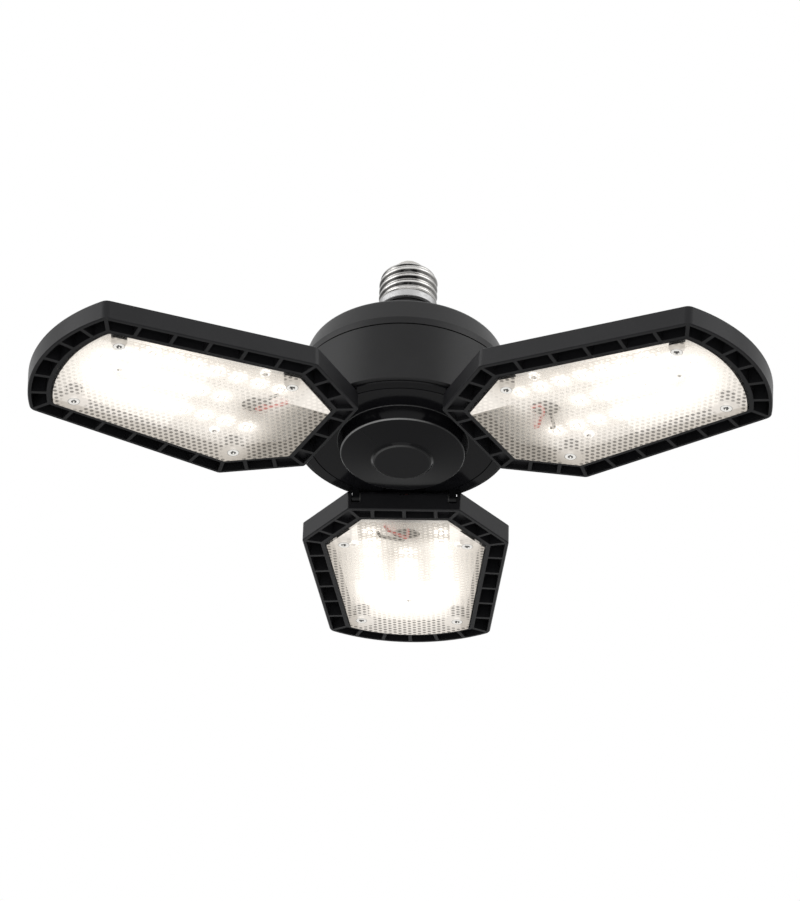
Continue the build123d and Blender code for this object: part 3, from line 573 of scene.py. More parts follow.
def laminate(name, colour, track):
    """Driver board: green lacquer over faint copper tracks and pads."""
    finish = Finish(name)
    place = finish.place()
    thread_turn = 2 * math.pi / (0.8 * MM)
    pad_size = 6.0 * MM
    x, y, _ = finish.parts(place)
    weave = finish.math("SINE", x * thread_turn) * finish.math("SINE", y * thread_turn)
    cells = finish.node("ShaderNodeTexVoronoi", {"Vector": place, "Scale": 1.0 / pad_size},
                        feature="F1", distance="CHEBYCHEV")
    edge = finish.share(Value(finish, cells.outputs["Distance"]), 0.42, 0.46)
    tone = finish.blend(edge * 0.8, colour, track)
    return finish.shade({"Base Color": tone, "Roughness": 0.35 + weave * 0.05,
                         "Normal": finish.bump(weave, 0.01 * MM)})


# Light in the panels

def nearest(finish, squares):
    """The smallest of several squared distances, as a distance."""
    least = squares[0]
    for square in squares[1:]:
        least = finish.math("MINIMUM", least, square)
    return finish.math("SQRT", least)


def screw_distance(finish, u, v, spots):
    """Distance from a place on the panel to the axis of the nearest of its mirrored screws."""
    return nearest(finish, [(u - spot.x) ** 2.0 + (abs(v) - spot.y) ** 2.0 for spot in spots])


def row_distance(finish, u, v):
    """Distance from a place on the panel to the nearest row of light sources."""
    leg_u = u - finish.within(u, LEG_START_U, ROWS_END_U)
    leg_v = abs(v) - LEG_V
    middle_u = u - finish.within(u, MIDDLE_START_U, ROWS_END_U)
    bow_u = u - BOW_CENTRE_U
    bow = finish.root_of_squares(bow_u, v) - BOW_R
    behind = finish.math("MAXIMUM", ROWS_END_U - u, 0.0)
    return nearest(finish, (leg_u * leg_u + leg_v * leg_v, middle_u * middle_u + v * v,
                            bow * bow + behind * behind))


def source_distance(finish, u, v):
    """Distance from a place on the panel to the nearest single light source."""
    squares = []
    for start, across in ((LEG_START_U, abs(v) - LEG_V), (MIDDLE_START_U, v)):
        past_end = abs(u - finish.within(u, start, ROWS_END_U))
        in_step = abs(finish.math("WRAP", u - start, CHIP_PITCH / 2, -CHIP_PITCH / 2))
        along = finish.math("MAXIMUM", past_end, in_step)
        squares.append(along * along + across * across)
    for chip_u, chip_v in BOW_CHIPS:
        along = u - chip_u * MM
        across = abs(v) - chip_v * MM
        squares.append(along * along + across * across)
    return nearest(finish, squares)


def halo(finish, distance, reach):
    """1 at no distance, and falling off smoothly over about the reach."""
    return finish.math("EXPONENT", distance * distance * (-1.0 / reach ** 2))


def dimple_distance(finish, u, v, pitch):
    """Distance to the nearest centre of the lens's staggered lattice."""
    row = pitch * math.sqrt(3) / 2
    near = []
    for shift_u, shift_v in ((0.0, 0.0), (pitch / 2, row)):
        along = finish.math("WRAP", u - (LATTICE_U + shift_u), pitch / 2, -pitch / 2)
        across = finish.math("WRAP", v - shift_v, row, -row)
        near.append(finish.root_of_squares(along, across))
    return finish.math("MINIMUM", *near)


def lens_level(finish, u, v, calm_sides, lens):
    """Brightness of the lens between its dimples, and how much of the bright strip is at a place."""
    side_half = 0.2 * MM
    calm_half = 5.0 * MM
    outer_half = 0.4 * MM
    over_rows = lens.veil + lens.veil_near * halo(finish, row_distance(finish, u, v), lens.spread)
    low, high = calm_sides
    inside = finish.step_up(v, low, side_half) * finish.step_down(v, high, side_half)
    hub_end = finish.step_down(u, CALM_END_U, calm_half)
    strip = hub_end * (1.0 - inside)
    hub_level = lens.strip + (lens.calm - lens.strip) * inside
    outer = finish.step_up(u, OUTER_FIELD_U, outer_half)
    outer = outer * finish.step_down(abs(v), OUTER_FIELD_V, outer_half)
    level = over_rows + (hub_level - over_rows) * hub_end + outer * lens.outer_gain
    return level, strip


def lit_lens(name, place, calm_sides, hole_v, lens):
    """Clear cover whose outer face glows between the dimples and shows the board through them."""
    finish = Finish(name)
    dimple_core = 0.8
    face_depth = 0.05 * MM
    wall_depth = 0.1 * MM
    u, v, w = finish.parts(finish.place(place))
    centre = dimple_distance(finish, u, v, lens.pitch)
    dimple = 1.0 - finish.share(centre, lens.dimple_radius * dimple_core, lens.dimple_radius)
    level, strip = lens_level(finish, u, v, calm_sides, lens)
    over_hole = nearest(finish, [(u - WIRE_HOLE_U) ** 2.0 + (v - hole_v) ** 2.0])
    level = level - halo(finish, over_hole, HOLE_SHADE_REACH) * lens.hole_shade
    off_screw = screw_distance(finish, u, v, (LENS_SCREW_INNER, LENS_SCREW_OUTER))
    pad = finish.share(off_screw, SCREW_PAD_END_R, SCREW_PAD_R)
    face = 1.0 - finish.share(w, LENS_FRONT_W + face_depth, LENS_FRONT_W + wall_depth)
    outwards = 1.0 - Value(finish, finish.node("ShaderNodeNewGeometry").outputs["Backfacing"])
    level = level * face * outwards
    warmth = finish.share(level, lens.calm, lens.veil + lens.veil_near)
    tint = finish.blend(warmth, lens.calm_colour, lens.glow_colour)
    glow = finish.lit(tint, level)
    clear = finish.math("MAXIMUM", lens.dimple_alpha + strip * lens.strip_alpha, pad * lens.pad_alpha)
    covered = lens.alpha + (clear - lens.alpha) * dimple
    alpha = lens.wall_alpha + (covered - lens.wall_alpha) * face
    smear = finish.noise(finish.place(), 6.0 * MM, 3.0)
    return finish.shade({"Base Color": (0.3, 0.29, 0.27), "Roughness": 0.08 + smear * 0.08,
                         "Alpha": alpha, "Normal": finish.bump(dimple, 0.03 * MM)}, glow)


def lit_board(name, place, gain, lens):
    """White lacquered board lit by its own light sources, with faint tracks under the lacquer."""
    finish = Finish(name)
    dark_end_u = 10.0 * MM
    lit_end_u = 45.0 * MM
    outer_half = 8.0 * MM
    track_edge = 0.3 * MM
    u, v, _ = finish.parts(finish.place(place))
    wide = halo(finish, row_distance(finish, u, v), lens.board_spread)
    spots = halo(finish, source_distance(finish, u, v), lens.spot_spread)
    away_from_hub = finish.share(u, dark_end_u, lit_end_u)
    outer = finish.step_up(u, OUTER_FIELD_U, outer_half)
    rows = lens.board_glow * gain + outer * lens.board_outer
    # Painted glow of the light sources: weak towards the hub, stronger along the rows and round each source
    level = away_from_hub * lens.board_far + wide * rows + spots * lens.spot_glow
    leg_off = abs(abs(v) - LEG_V)
    track = (finish.share(leg_off, TRACK_IN, TRACK_IN + track_edge)
             - finish.share(leg_off, TRACK_OUT, TRACK_OUT + track_edge))
    base = finish.blend(track * 0.25, (0.7, 0.69, 0.66), (0.55, 0.54, 0.5))
    grain = finish.noise(finish.place(), 0.5 * MM, 3.0)
    glow = finish.lit(lens.glow_colour, level)
    return finish.shade({"Base Color": base, "Roughness": 0.4 + grain * 0.1,
                         "Normal": finish.bump(grain, 0.01 * MM)}, glow)


def lit_chip(name, colour, strength):
    """Light source: white package round a glowing yellow square."""
    finish = Finish(name)
    marked = finish.node("ShaderNodeAttribute", attribute_name="phosphor")
    glowing = Value(finish, marked.outputs["Fac"])
    grain = finish.noise(finish.place(), 0.3 * MM, 2.0)
    base = finish.blend(glowing, (0.86, 0.85, 0.82), (0.9, 0.72, 0.2))
    glow = finish.blend(glowing, (0.12, 0.11, 0.1), colour)
    return finish.shade({"Base Color": base, "Roughness": 0.35 + grain * 0.2,
                         "Normal": finish.bump(grain, 0.01 * MM)}, glow, strength)


# Screw cap

def thread_recipe(cap, material):
    """Tree that rolls a right-hand thread into the outer wall of a turned shell."""
    recipe = Recipe("rolled_thread", {
        "Pitch": cap.pitch, "Depth": cap.depth, "Start": cap.thread_start, "End": cap.thread_end,
        "Run Out": 1.2 * MM, "Bore": cap.bore + 0.2 * MM, "Crest Power": 0.8, "Material": material,
    })
    x, y, z = recipe.parts(recipe.made("InputPosition"))
    angle = recipe.math("ARCTAN2", y, x)
    radius = recipe.root_of_squares(x, y)
    turns = z / recipe.given("Pitch") - angle / (2 * math.pi)
    wave = 0.5 - 0.5 * recipe.math("COSINE", turns * (2 * math.pi))
    ridge = wave ** recipe.given("Crest Power")
    run_out = recipe.given("Run Out")
    rise = recipe.math("DIVIDE", z - recipe.given("Start"), run_out, clamp=True)
    fall = recipe.math("DIVIDE", recipe.given("End") - z, run_out, clamp=True)
    outside = recipe.math("GREATER_THAN", radius, recipe.given("Bore"))
    push = recipe.given("Depth") * ridge * rise * fall * outside
    offset = recipe.joined(x / radius * push, y / radius * push, 0.0)
    moved = recipe.made("SetPosition", {"Geometry": recipe.blank, "Offset": offset})
    return recipe.end(recipe.made("SetShadeSmooth", {0: moved}))


def shell_outline(cap):
    """Outline of the shell before its thread is rolled: collar, wall, turned-in mouth and bore."""
    wall = 0.5 * MM
    neck_in = 0.6 * MM
    neck_drop = 0.4 * MM
    bore_drop = 1.0 * MM
    scale = cap.collar_height / COLLAR_PROFILE_H
    outline = [(cap.collar + inset * MM, height * scale) for inset, height in COLLAR_PROFILE]
    threaded = cap.thread_end - cap.thread_start
    for k in range(THREAD_ROWS + 1):
        outline.append((cap.root, cap.thread_start + threaded * k / THREAD_ROWS))
    for k in range(1, MOUTH_BENDS + 1):
        turn = math.pi / 2 * k / MOUTH_BENDS
        outline.append((cap.mouth + (cap.root - cap.mouth) * math.cos(turn),
                        cap.thread_end + (cap.top - cap.thread_end) * math.sin(turn)))
    outline += [(cap.mouth, cap.top - wall), (cap.bore - neck_in, cap.thread_end - neck_drop),
                (cap.bore, cap.thread_end - bore_drop), (cap.bore, 0.0)]
    return outline


def build_cap(cap, finishes):
    """Threaded shell in the place of its plain solid, and finishes for the insulator and contact."""
    shell_finish = plated_shell("cap_plating", finishes.plating, cap)
    blank = turned("cap_shell_thread", shell_outline(cap), CAP_STEPS)
    shell = thread_recipe(cap, shell_finish).grow("cap_shell_thread", blank)
    smooth_below(shell, 40)
    seat(shell, "hub", "cap_shell")
    pale = speckled("cap_insulator_pale", (0.62, 0.6, 0.56), (0.74, 0.72, 0.68), roughness=0.35,
                    grain=1.2 * MM, depth=0.03 * MM)
    dress(pale, "cap_insulator")
    tinned = metal("cap_contact_tinned", (0.62, 0.6, 0.56), roughness=0.3, grain=0.8 * MM)
    dress(tinned, "centre_contact")


# Lenses

def lens_recipe(lens, material):
    """Tree that sets a staggered field of low domes on the inner face of a lens plate."""
    wall_slope = 0.8
    ray_start = 0.5 * MM
    ray_length = 1.0 * MM
    recipe = Recipe("dimple_field", {
        "Pitch": lens.pitch, "Dimple Radius": lens.dimple_radius, "Dimple Height": lens.dimple_height,
        "Rim Clearance": 1.3 * MM, "Centre": Vector((LATTICE_U, 0.0, LENS_BACK_W)),
        "Columns": 51, "Rows": 41, "Material": material,
    })
    columns = recipe.given("Columns")
    rows = recipe.given("Rows")
    pitch = recipe.given("Pitch")
    row = pitch * (math.sqrt(3) / 2)
    grid = recipe.made("MeshGrid", {"Size X": (columns - 1) * pitch, "Size Y": (rows - 1) * row,
                                    "Vertices X": columns, "Vertices Y": rows})
    position = recipe.made("InputPosition")
    across = recipe.parts(position)[1]
    odd = recipe.math("FLOORED_MODULO", recipe.math("ROUND", across / row), 2.0)
    stagger = recipe.joined(odd * pitch * 0.5, 0.0, 0.0)
    offset = recipe.vector("ADD", stagger, recipe.given("Centre"))
    field = recipe.made("SetPosition", {"Geometry": grid, "Offset": offset})
    slope = abs(recipe.parts(recipe.made("InputNormal"))[2])
    steep = recipe.math("LESS_THAN", slope, wall_slope)
    rim = recipe.made("SeparateGeometry", {"Geometry": recipe.blank, "Selection": steep}, domain="FACE")
    reach = recipe.node("GeometryNodeProximity", {0: rim}, target_element="FACES")
    to_rim = Value(recipe, reach.outputs["Distance"])
    close = recipe.math("LESS_THAN", to_rim, recipe.given("Rim Clearance"))
    ray = recipe.node("GeometryNodeRaycast", {
        "Target Geometry": recipe.blank,
        "Source Position": recipe.vector("ADD", position, (0.0, 0.0, ray_start)),
        "Ray Direction": (0.0, 0.0, -1.0), "Ray Length": ray_length})
    missed = 1.0 - Value(recipe, ray.outputs["Is Hit"])
    outside = recipe.math("MAXIMUM", close, missed)
    kept = recipe.made("DeleteGeometry", {"Geometry": field, "Selection": outside}, domain="POINT")
    domes = recipe.made("InstanceOnPoints", {"Points": kept, "Instance": dome_unit(recipe)})
    return recipe.end(recipe.together((recipe.blank, domes)))


def dome_unit(recipe):
    """One low dome, flat side open, of thirty faces."""
    sides = 10
    rings = 3
    radius = recipe.given("Dimple Radius")
    cone = recipe.made("MeshCone", {
        "Vertices": sides, "Side Segments": rings, "Radius Top": 0.0, "Radius Bottom": radius,
        "Depth": radius}, fill_type="NONE")
    x, y, _ = recipe.parts(recipe.made("InputPosition"))
    hollow = 1.0 - (x * x + y * y) / (radius * radius)
    bent = recipe.joined(x, y, recipe.given("Dimple Height") * hollow)
    shaped = recipe.made("SetPosition", {"Geometry": cone, "Position": bent})
    return recipe.made("SetShadeSmooth", {0: shaped})


def build_lenses(lens):
    """Each panel's lens with its dimples and its own glow."""
    for name in PANELS:
        place = panel_place(name)
        finish = lit_lens(f"{name}_lens_lit", place, CALM_SIDES[name], WIRE_HOLE_V[name], lens)
        blank = merged_copy(f"{name}_lens", place)
        plate = lens_recipe(lens, finish).grow(f"{name}_lens_dimpled", blank)
        seat(plate, f"{name}_panel", f"{name}_lens", place)


# Light sources


def chip_recipe(material, chips):
    """Tree that sets one light source on every point of its blank."""
    recipe = Recipe("light_sources", {
        "Length": chips.length, "Width": chips.width, "Height": chips.height,
        "Phosphor Share": 0.72, "Disc Sides": 16, "Disc Depth": 0.1 * MM, "Material": material,
    })
    height = recipe.given("Height")
    size = recipe.joined(recipe.given("Length"), recipe.given("Width"), height)
    package = recipe.shifted(recipe.made("MeshCube", {"Size": size}), height * -0.5)
    disc_r = recipe.given("Width") * recipe.given("Phosphor Share") * 0.5
    disc = recipe.made("MeshCylinder", {
        "Vertices": recipe.given("Disc Sides"), "Radius": disc_r,
        "Depth": recipe.given("Disc Depth")}, fill_type="NGON")
    disc = recipe.shifted(disc, height * -1.0)
    marked = recipe.made("StoreNamedAttribute", {"Geometry": disc, "Name": "phosphor", "Value": 1.0},
                         domain="POINT", data_type="FLOAT")
    unit = recipe.together((package, marked))
    return recipe.end(recipe.made("InstanceOnPoints", {"Points": recipe.blank, "Instance": unit}))


def chip_points():
    """Every light source's place on the board, as a mesh of bare points."""
    legs = round((ROWS_END_U - LEG_START_U) / CHIP_PITCH) + 1
    middle = round((ROWS_END_U - MIDDLE_START_U) / CHIP_PITCH) + 1
    spots = [(LEG_START_U + k * CHIP_PITCH, side * LEG_V) for side in (1, -1) for k in range(legs)]
    spots += [(MIDDLE_START_U + k * CHIP_PITCH, 0.0) for k in range(middle)]
    spots += [(u * MM, side * v * MM) for u, v in BOW_CHIPS for side in (1, -1)]
    mesh = bpy.data.meshes.new("chip_points")
    mesh.from_pydata([(u, v, BOARD_FRONT_W) for u, v in spots], [], [])
    return mesh


def build_light_boards(lens, chips):
    """Glowing boards, their light sources and the wires that feed them."""
    finish = lit_chip("light_source", lens.glow_colour, chips.strength)
    for name in PANELS:
        place = panel_place(name)
        dress(lit_board(f"{name}_board_lit", place, BOARD_GAINS[name], lens), f"{name}_led_board")
        sources = chip_recipe(finish, chips).grow(f"{name}_light_sources", chip_points())
        seat(sources, f"{name}_panel", f"{name}_led_chips", place)
        for hue, colour in (("red", (0.6, 0.03, 0.02)), ("black", grey(0.02))):
            dress(lead_sleeve(f"{name}_{hue}_sleeve", place, colour, 0.4), f"{name}_{hue}_lead")


# Screws

def lit_screw(name, place, spots, colour, lit):
    """Zinc-plated screw with a bright face round a darker recess, in the light of the panel."""
    finish = Finish(name)
    shaded_recess_r = 1.2 * MM
    recess_half = 0.2 * MM
    rim_r = 2.4 * MM
    rim_half = 0.2 * MM
    u, v, _ = finish.parts(finish.place(place))
    off_axis = screw_distance(finish, u, v, spots)
    marks = finish.noise(finish.place(), 0.5 * MM, 4.0, 0.65)
    # Painted shade darkens the recess; the face round it carries a painted glow of the panel's light
    face = finish.step_up(off_axis, shaded_recess_r, recess_half) * finish.step_down(off_axis, rim_r, rim_half)
    tone = finish.blend(face, toned(colour, 0.35), colour)
    glow = finish.blend(face, grey(0.02), (lit, lit * 0.97, lit * 0.92))
    return finish.shade({"Base Color": tone, "Metallic": 1.0, "Roughness": 0.25 + marks * 0.2,
                         "Normal": finish.bump(marks, 0.01 * MM)}, glow)


def screw_recipe(name, screws, face, inner, outer, recess_half, material):
    """Tree that cuts a cross recess in a turned screw and sets it at mirrored places."""
    weld = 0.1 * MM
    recipe = Recipe(name, {
        "Inner Place": inner, "Outer Place": outer, "Recess Half": recess_half,
        "Recess Width": screws.recess_width, "Recess Depth": screws.recess_depth,
        "Face Height": face, "Seed": 3, "Material": material,
    })
    size = recipe.joined(recipe.given("Recess Half") * 2.0, recipe.given("Recess Width"),
                         recipe.given("Recess Depth") * 2.0)
    arms = [recipe.shifted(recipe.made("MeshCube", {"Size": size}), recipe.given("Face Height"), turn)
            for turn in (0.0, math.pi / 2)]
    sockets = {"Mesh 1": recipe.blank, "Mesh 2": recipe.together(arms), "Self Intersection": True}
    cut = recipe.made("MeshBoolean", sockets, operation="DIFFERENCE", solver="EXACT")
    lines = []
    for side in (1.0, -1.0):
        ends = [recipe.vector("MULTIPLY", recipe.given(label), (1.0, side, 1.0))
                for label in ("Inner Place", "Outer Place")]
        sockets = {"Count": 2, "Start Location": ends[0], "Offset": ends[1]}
        lines.append(recipe.made("MeshLine", sockets, mode="END_POINTS", count_mode="TOTAL"))
    spots = recipe.made("MergeByDistance", {"Geometry": recipe.together(lines), "Distance": weld})
    turn = recipe.node("FunctionNodeRandomValue", {"Max": 2 * math.pi, "Seed": recipe.given("Seed")},
                       data_type="FLOAT").outputs[1]
    heading = recipe.joined(0.0, 0.0, turn)
    placed = recipe.made("InstanceOnPoints", {"Points": spots, "Instance": cut, "Rotation": heading})
    return recipe.end(placed)


def countersunk_blank():
    """Lens screw before its recess: flat head with a broken edge, cone and shank."""
    face = LENS_FRONT_W
    edge_in = 0.2 * MM
    edge_h = 0.15 * MM
    cone_end = 0.55 * MM
    shank_r = 1.25 * MM
    tip = 6.2 * MM
    tip_r = 0.3 * MM
    tip_h = 0.8 * MM
    return turned("countersunk_blank", [
        (0, face), (COUNTERSUNK_R - edge_in, face), (COUNTERSUNK_R, face + edge_h),
        (shank_r, cone_end), (shank_r, tip - tip_h), (tip_r, tip), (0, tip)], SCREW_STEPS)


def pan_blank():
    """Board screw before its recess: domed head and shank."""
    head_r = 2.2 * MM
    flat_r = head_r * 0.55
    dome_r = head_r * 0.85
    dome_h = 0.2 * MM
    side_h = 0.6 * MM
    shank_r = 1.1 * MM
    face = BOARD_FRONT_W - PAN_HEAD_H
    tip = 8.5 * MM
    tip_r = 0.4 * MM
    tip_h = 0.4 * MM
    return turned("pan_blank", [
        (0, face), (flat_r, face), (dome_r, face + dome_h), (head_r, face + side_h),
        (head_r, BOARD_FRONT_W), (shank_r, BOARD_FRONT_W), (shank_r, tip - tip_h), (tip_r, tip),
        (0, tip)], SCREW_STEPS)


def build_screws(screws, finishes):
    """Cross-recessed screws in the lens and the board of each panel, and the hub's own."""
    zinc = finishes.steel
    board_face = BOARD_FRONT_W - PAN_HEAD_H
    kinds = (
        ("lens", countersunk_blank, LENS_FRONT_W, LENS_SCREW_INNER, LENS_SCREW_OUTER,
         screws.lens_recess_half, screws.lens_glow),
        ("board", pan_blank, board_face, BOARD_SCREW_INNER, BOARD_SCREW_OUTER,
         screws.board_recess_half, screws.board_glow),
    )
    for name in PANELS:
        place = panel_place(name)
        for kind, blank, face, inner, outer, recess_half, glow in kinds:
            steel = lit_screw(f"{name}_{kind}_zinc", place, (inner, outer), zinc, glow)
            recipe = screw_recipe(f"{kind}_screw_set", screws, face, inner, outer, recess_half, steel)
            piece = recipe.grow(f"{name}_{kind}_screws_cross", blank())
            smooth_below(piece, 30)
            seat(piece, f"{name}_panel", f"{name}_{kind}_screws", place)
    dress(metal("screw_zinc", zinc, roughness=0.28, grain=0.5 * MM), "base_screws", "driver_screws")


# Hub and frames

def build_hub(finishes):
    """Finishes of the hub's covers and of what its outlets hold."""
    housing = cast_black("housing_black", finishes.black, roughness=0.42, specular=0.24,
                         grain=0.9 * MM, depth=0.012 * MM)
    dress(housing, "upper_housing", "drum")
    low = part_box("bottom_cap")[0].z
    # Painted highlight rings on the rounded edges of the base and cap: radius, height, reach, brightness all
    # round and gain towards the front left
    edges = (
        (28.3 * MM, low + 10.35 * MM, 0.45 * MM, 0.1, 0.12),
        (26.8 * MM, low + 4.2 * MM, 0.5 * MM, 0.06, 0.5),
        (12.3 * MM, low + 0.15 * MM, 0.7 * MM, 0.02, 0.1),
    )
    dress(gloss_black("bottom_gloss", finishes.gloss, edges), "hinge_base", "bottom_cap")
    rubber = speckled("grommet_rubber", grey(0.012), grey(0.03), roughness=0.7, grain=0.8 * MM,
                      depth=0.02 * MM)
    dress(rubber, "outlet_grommets")


def build_frames(finishes):
    """Finishes of the panels' cast frames and their hinge washers."""
    coat = cast_black("frame_black", finishes.frame, roughness=0.4, specular=0.2,
                      grain=1.1 * MM, depth=0.015 * MM)
    dress(coat, *[f"{name}_frame" for name in PANELS])
    nylon = speckled("washer_nylon", grey(0.02), grey(0.035), roughness=0.5, grain=0.6 * MM,
                     depth=0.01 * MM)
    dress(nylon, *[f"{name}_friction_washers" for name in PANELS])
    blackened = metal("pin_blackened", grey(0.06), roughness=0.4, grain=0.4 * MM)
    dress(blackened, *[f"{name}_hinge_pins" for name in PANELS])


def build_driver():
    """Finishes of the pieces inside the drum."""
    dress(laminate("driver_laminate", (0.05, 0.2, 0.09), (0.12, 0.32, 0.16)), "driver_board")
    tape = wound("winding_tape", (0.72, 0.52, 0.06), (0.5, 0.34, 0.04), pitch=1.6 * MM, roughness=0.4)
    dress(tape, "transformer_winding")
    wire = wound("choke_sleeve", grey(0.03), (0.4, 0.16, 0.06), pitch=0.7 * MM, roughness=0.45)
    dress(wire, "input_choke")
    sleeve = speckled("capacitor_sleeve", (0.015, 0.016, 0.02), (0.03, 0.03, 0.04), roughness=0.3,
                      grain=1.5 * MM, depth=0.01 * MM)
    dress(sleeve, "bulk_capacitor", "output_capacitor")
    # Node, finish, two colours, roughness, then grain and relief in millimetres
    moulded = (
        ("transformer_core", "ferrite_grey", grey(0.05), grey(0.09), 0.75, 0.4, 0.03),
        ("bridge_rectifier", "rectifier_epoxy", grey(0.015), grey(0.03), 0.6, 0.3, 0.02),
        ("fuse", "fuse_green", (0.4, 0.6, 0.45), (0.5, 0.68, 0.52), 0.5, 0.5, 0.02),
        ("panel_plugs", "plug_nylon", (0.78, 0.77, 0.72), (0.84, 0.83, 0.8), 0.45, 0.6, 0.01),
    )
    for node, name, first, second, roughness, grain, depth in moulded:
        dress(speckled(name, first, second, roughness, grain * MM, depth * MM), node)
    sleeves = {"output_leads": grey(0.015), "live_lead": (0.45, 0.02, 0.015),
               "neutral_lead": (0.75, 0.74, 0.7)}
    for node, first in sleeves.items():
        sleeve = speckled(f"{node}_sleeve", first, toned(first, 1.3, 0.01), roughness=0.45,
                          grain=1.0 * MM, depth=0.01 * MM)
        dress(sleeve, node)


# Stage

def build_world(stage):
    """White seen by the camera, by gloss and through glass; a plain level for everything else."""
    world = bpy.data.worlds.new("studio")
    world.use_nodes = True
    bpy.context.scene.world = world
    graph = Graph(world.node_tree)
    graph.tree.nodes.clear()
    path = graph.node("ShaderNodeLightPath")
    seen = Value(graph, path.outputs["Is Camera Ray"])
    for ray in ("Is Glossy Ray", "Is Transmission Ray"):
        seen = graph.math("MAXIMUM", seen, Value(graph, path.outputs[ray]))
    level = stage.world_level + seen * (1.0 - stage.world_level)
    light = graph.joined(level, level, level)
    ground = graph.node("ShaderNodeBackground", {"Color": light, "Strength": 1.0})
    graph.node("ShaderNodeOutputWorld", {"Surface": ground.outputs[0]})


def soft_light(name, azimuth, elevation, distance, size, level):
    """Square soft light that lays about its level on a white surface at the lamp."""
    light = bpy.data.lights.new(name, "AREA")
    light.shape = "SQUARE"
    light.size = size
    light.energy = level * (math.pi * distance) ** 2
    lamp = bpy.data.objects.new(name, light)
    bpy.context.scene.collection.objects.link(lamp)
    turn, rise = math.radians(azimuth), math.radians(elevation)
    away = Vector((math.cos(turn) * math.cos(rise), math.sin(turn) * math.cos(rise), math.sin(rise)))
    lamp.location = (cad_low + cad_high) / 2 + away * distance
    lamp.rotation_euler = away.to_track_quat("Z", "Y").to_euler()


def build_floor(stage):
    """Plain pale floor, far enough below for the camera."""
    reach = stage.floor_reach
    underside = -0.02
    mesh = turned("floor", [(0, 0), (reach, 0), (reach, underside), (0, underside)], FLOOR_STEPS)
    mesh.transform(Matrix.Translation((0, 0, -stage.floor_drop)))
    floor = bpy.data.objects.new("floor", mesh)
    bpy.context.scene.collection.objects.link(floor)
    finish = Finish("floor_pale")
    drift = finish.noise(finish.place(), 0.6, 3.0)
    tone = finish.blend(drift, (0.84, 0.84, 0.83), (0.88, 0.88, 0.87))
    path = finish.node("ShaderNodeLightPath")
    lift = Value(finish, path.outputs["Is Camera Ray"]) * stage.floor_lift
    paint = finish.shade({"Base Color": tone, "Roughness": 0.7 + drift * 0.1,
                          "Normal": finish.bump(drift, 1.0 * MM)}, finish.joined(lift, lift, lift))
    floor.data.materials.append(paint)


def build_camera(stage):
    """Camera below the lamp and in front of it, set as in the photograph."""
    turn = Matrix.Rotation(stage.camera_turn, 3, "Z")
    dip_sin = math.sin(stage.camera_dip)
    dip_cos = math.cos(stage.camera_dip)
    level = Matrix(((1, 0, 0), (0, -dip_sin, dip_cos), (0, -dip_cos, -dip_sin)))
    to_camera = Matrix.Rotation(stage.camera_roll, 3, "Z") @ level @ turn
    to_world = to_camera.transposed()
    eye = to_world @ Vector((-stage.aim_right, -stage.aim_up, stage.camera_far))
    eye.z -= stage.aim_drop
    data = bpy.data.cameras.new("camera")
    data.sensor_fit = "VERTICAL"
    data.sensor_height = FRAME_HEIGHT
    data.lens = stage.lens
    camera = bpy.data.objects.new("camera", data)
    camera.matrix_world = Matrix.Translation(eye) @ to_world.to_4x4()
    bpy.context.scene.collection.objects.link(camera)
    bpy.context.scene.camera = camera


def build_stage(stage):
    """Floor, lights, world and camera."""
    bpy.context.scene.view_settings.view_transform = "Standard"
    build_world(stage)
    build_floor(stage)
    build_camera(stage)
    soft_light("left_light", azimuth=205.0, elevation=18.0, distance=1.6, size=1.2,
               level=stage.left_level)
    soft_light("right_light", azimuth=-25.0, elevation=30.0, distance=1.9, size=1.2,
               level=stage.right_level)
    soft_light("front_light", azimuth=-95.0, elevation=-50.0, distance=1.5, size=1.4,
               level=stage.front_level)


# Settings

def length(name, description, default):
    """A size in metres that the user can change."""
    return bpy.props.FloatProperty(name=name, description=description, default=default,
                                   unit="LENGTH", subtype="DISTANCE", precision=5)


def colour(name, description, default):
    """A colour that the user can change."""
    return bpy.props.FloatVectorProperty(name=name, description=description, default=default,
                                         subtype="COLOR", size=3, min=0.0, max=1.0)


def number(name, description, default):
    """A plain number that the user can change."""
    return bpy.props.FloatProperty(name=name, description=description, default=default, precision=4)


def angle(name, description, degrees):
    """An angle that the user can change."""
    return bpy.props.FloatProperty(name=name, description=description, default=math.radians(degrees),
                                   subtype="ANGLE", unit="ROTATION")


class StageSettings(bpy.types.PropertyGroup):
    """Floor, lights and camera"""
    floor_drop: length("Floor Drop", "How far the floor lies below the cap's collar", 1.7)
    floor_reach: length("Floor Reach", "Radius of the floor", 14.0)
    floor_lift: number("Floor Lift", "How much paler the floor looks to the camera", 0.3)
    world_level: number("World Level", "Brightness of the surroundings on dull surfaces", 0.5)
    left_level: number("Left Level", "Light from the left", 0.34)
    right_level: number("Right Level", "Light from the right", 0.2)
    front_level: number("Front Level", "Light from the front and below", 0.2)
    lens: number("Focal Length", "Focal length in millimetres for a frame 36 mm high", 140.86)
    camera_far: length("Camera Distance", "From the aim to the camera", 1.53105)
    camera_turn: angle("Camera Turn", "Turn of the lamp against the camera", -2.40)
    camera_dip: angle("Camera Dip", "How far the camera lies below level", 34.94)
    camera_roll: angle("Camera Roll", "Roll of the picture", -2.09)
    aim_right: length("Aim Right", "How far the aim lies right of the picture's middle", 1.23 * MM)
    aim_up: length("Aim Up", "How far the aim lies above the picture's middle", 3.17 * MM)
    aim_drop: length("Aim Drop", "Height of the aim below the cap's collar", 71.0 * MM)


class FinishSettings(bpy.types.PropertyGroup):
    """Colours of the lamp's finishes"""
    black: colour("Black", "Coat of the housing", (0.0075, 0.0075, 0.008))
    frame: colour("Frame Black", "Coat of the panels' frames", (0.008, 0.008, 0.009))
    gloss: colour("Gloss Black", "Polished cap under the hub", (0.006, 0.006, 0.007))
    plating: colour("Plating", "Plating of the screw cap", (0.66, 0.65, 0.63))
    steel: colour("Steel", "Zinc of the screws", (0.78, 0.77, 0.75))


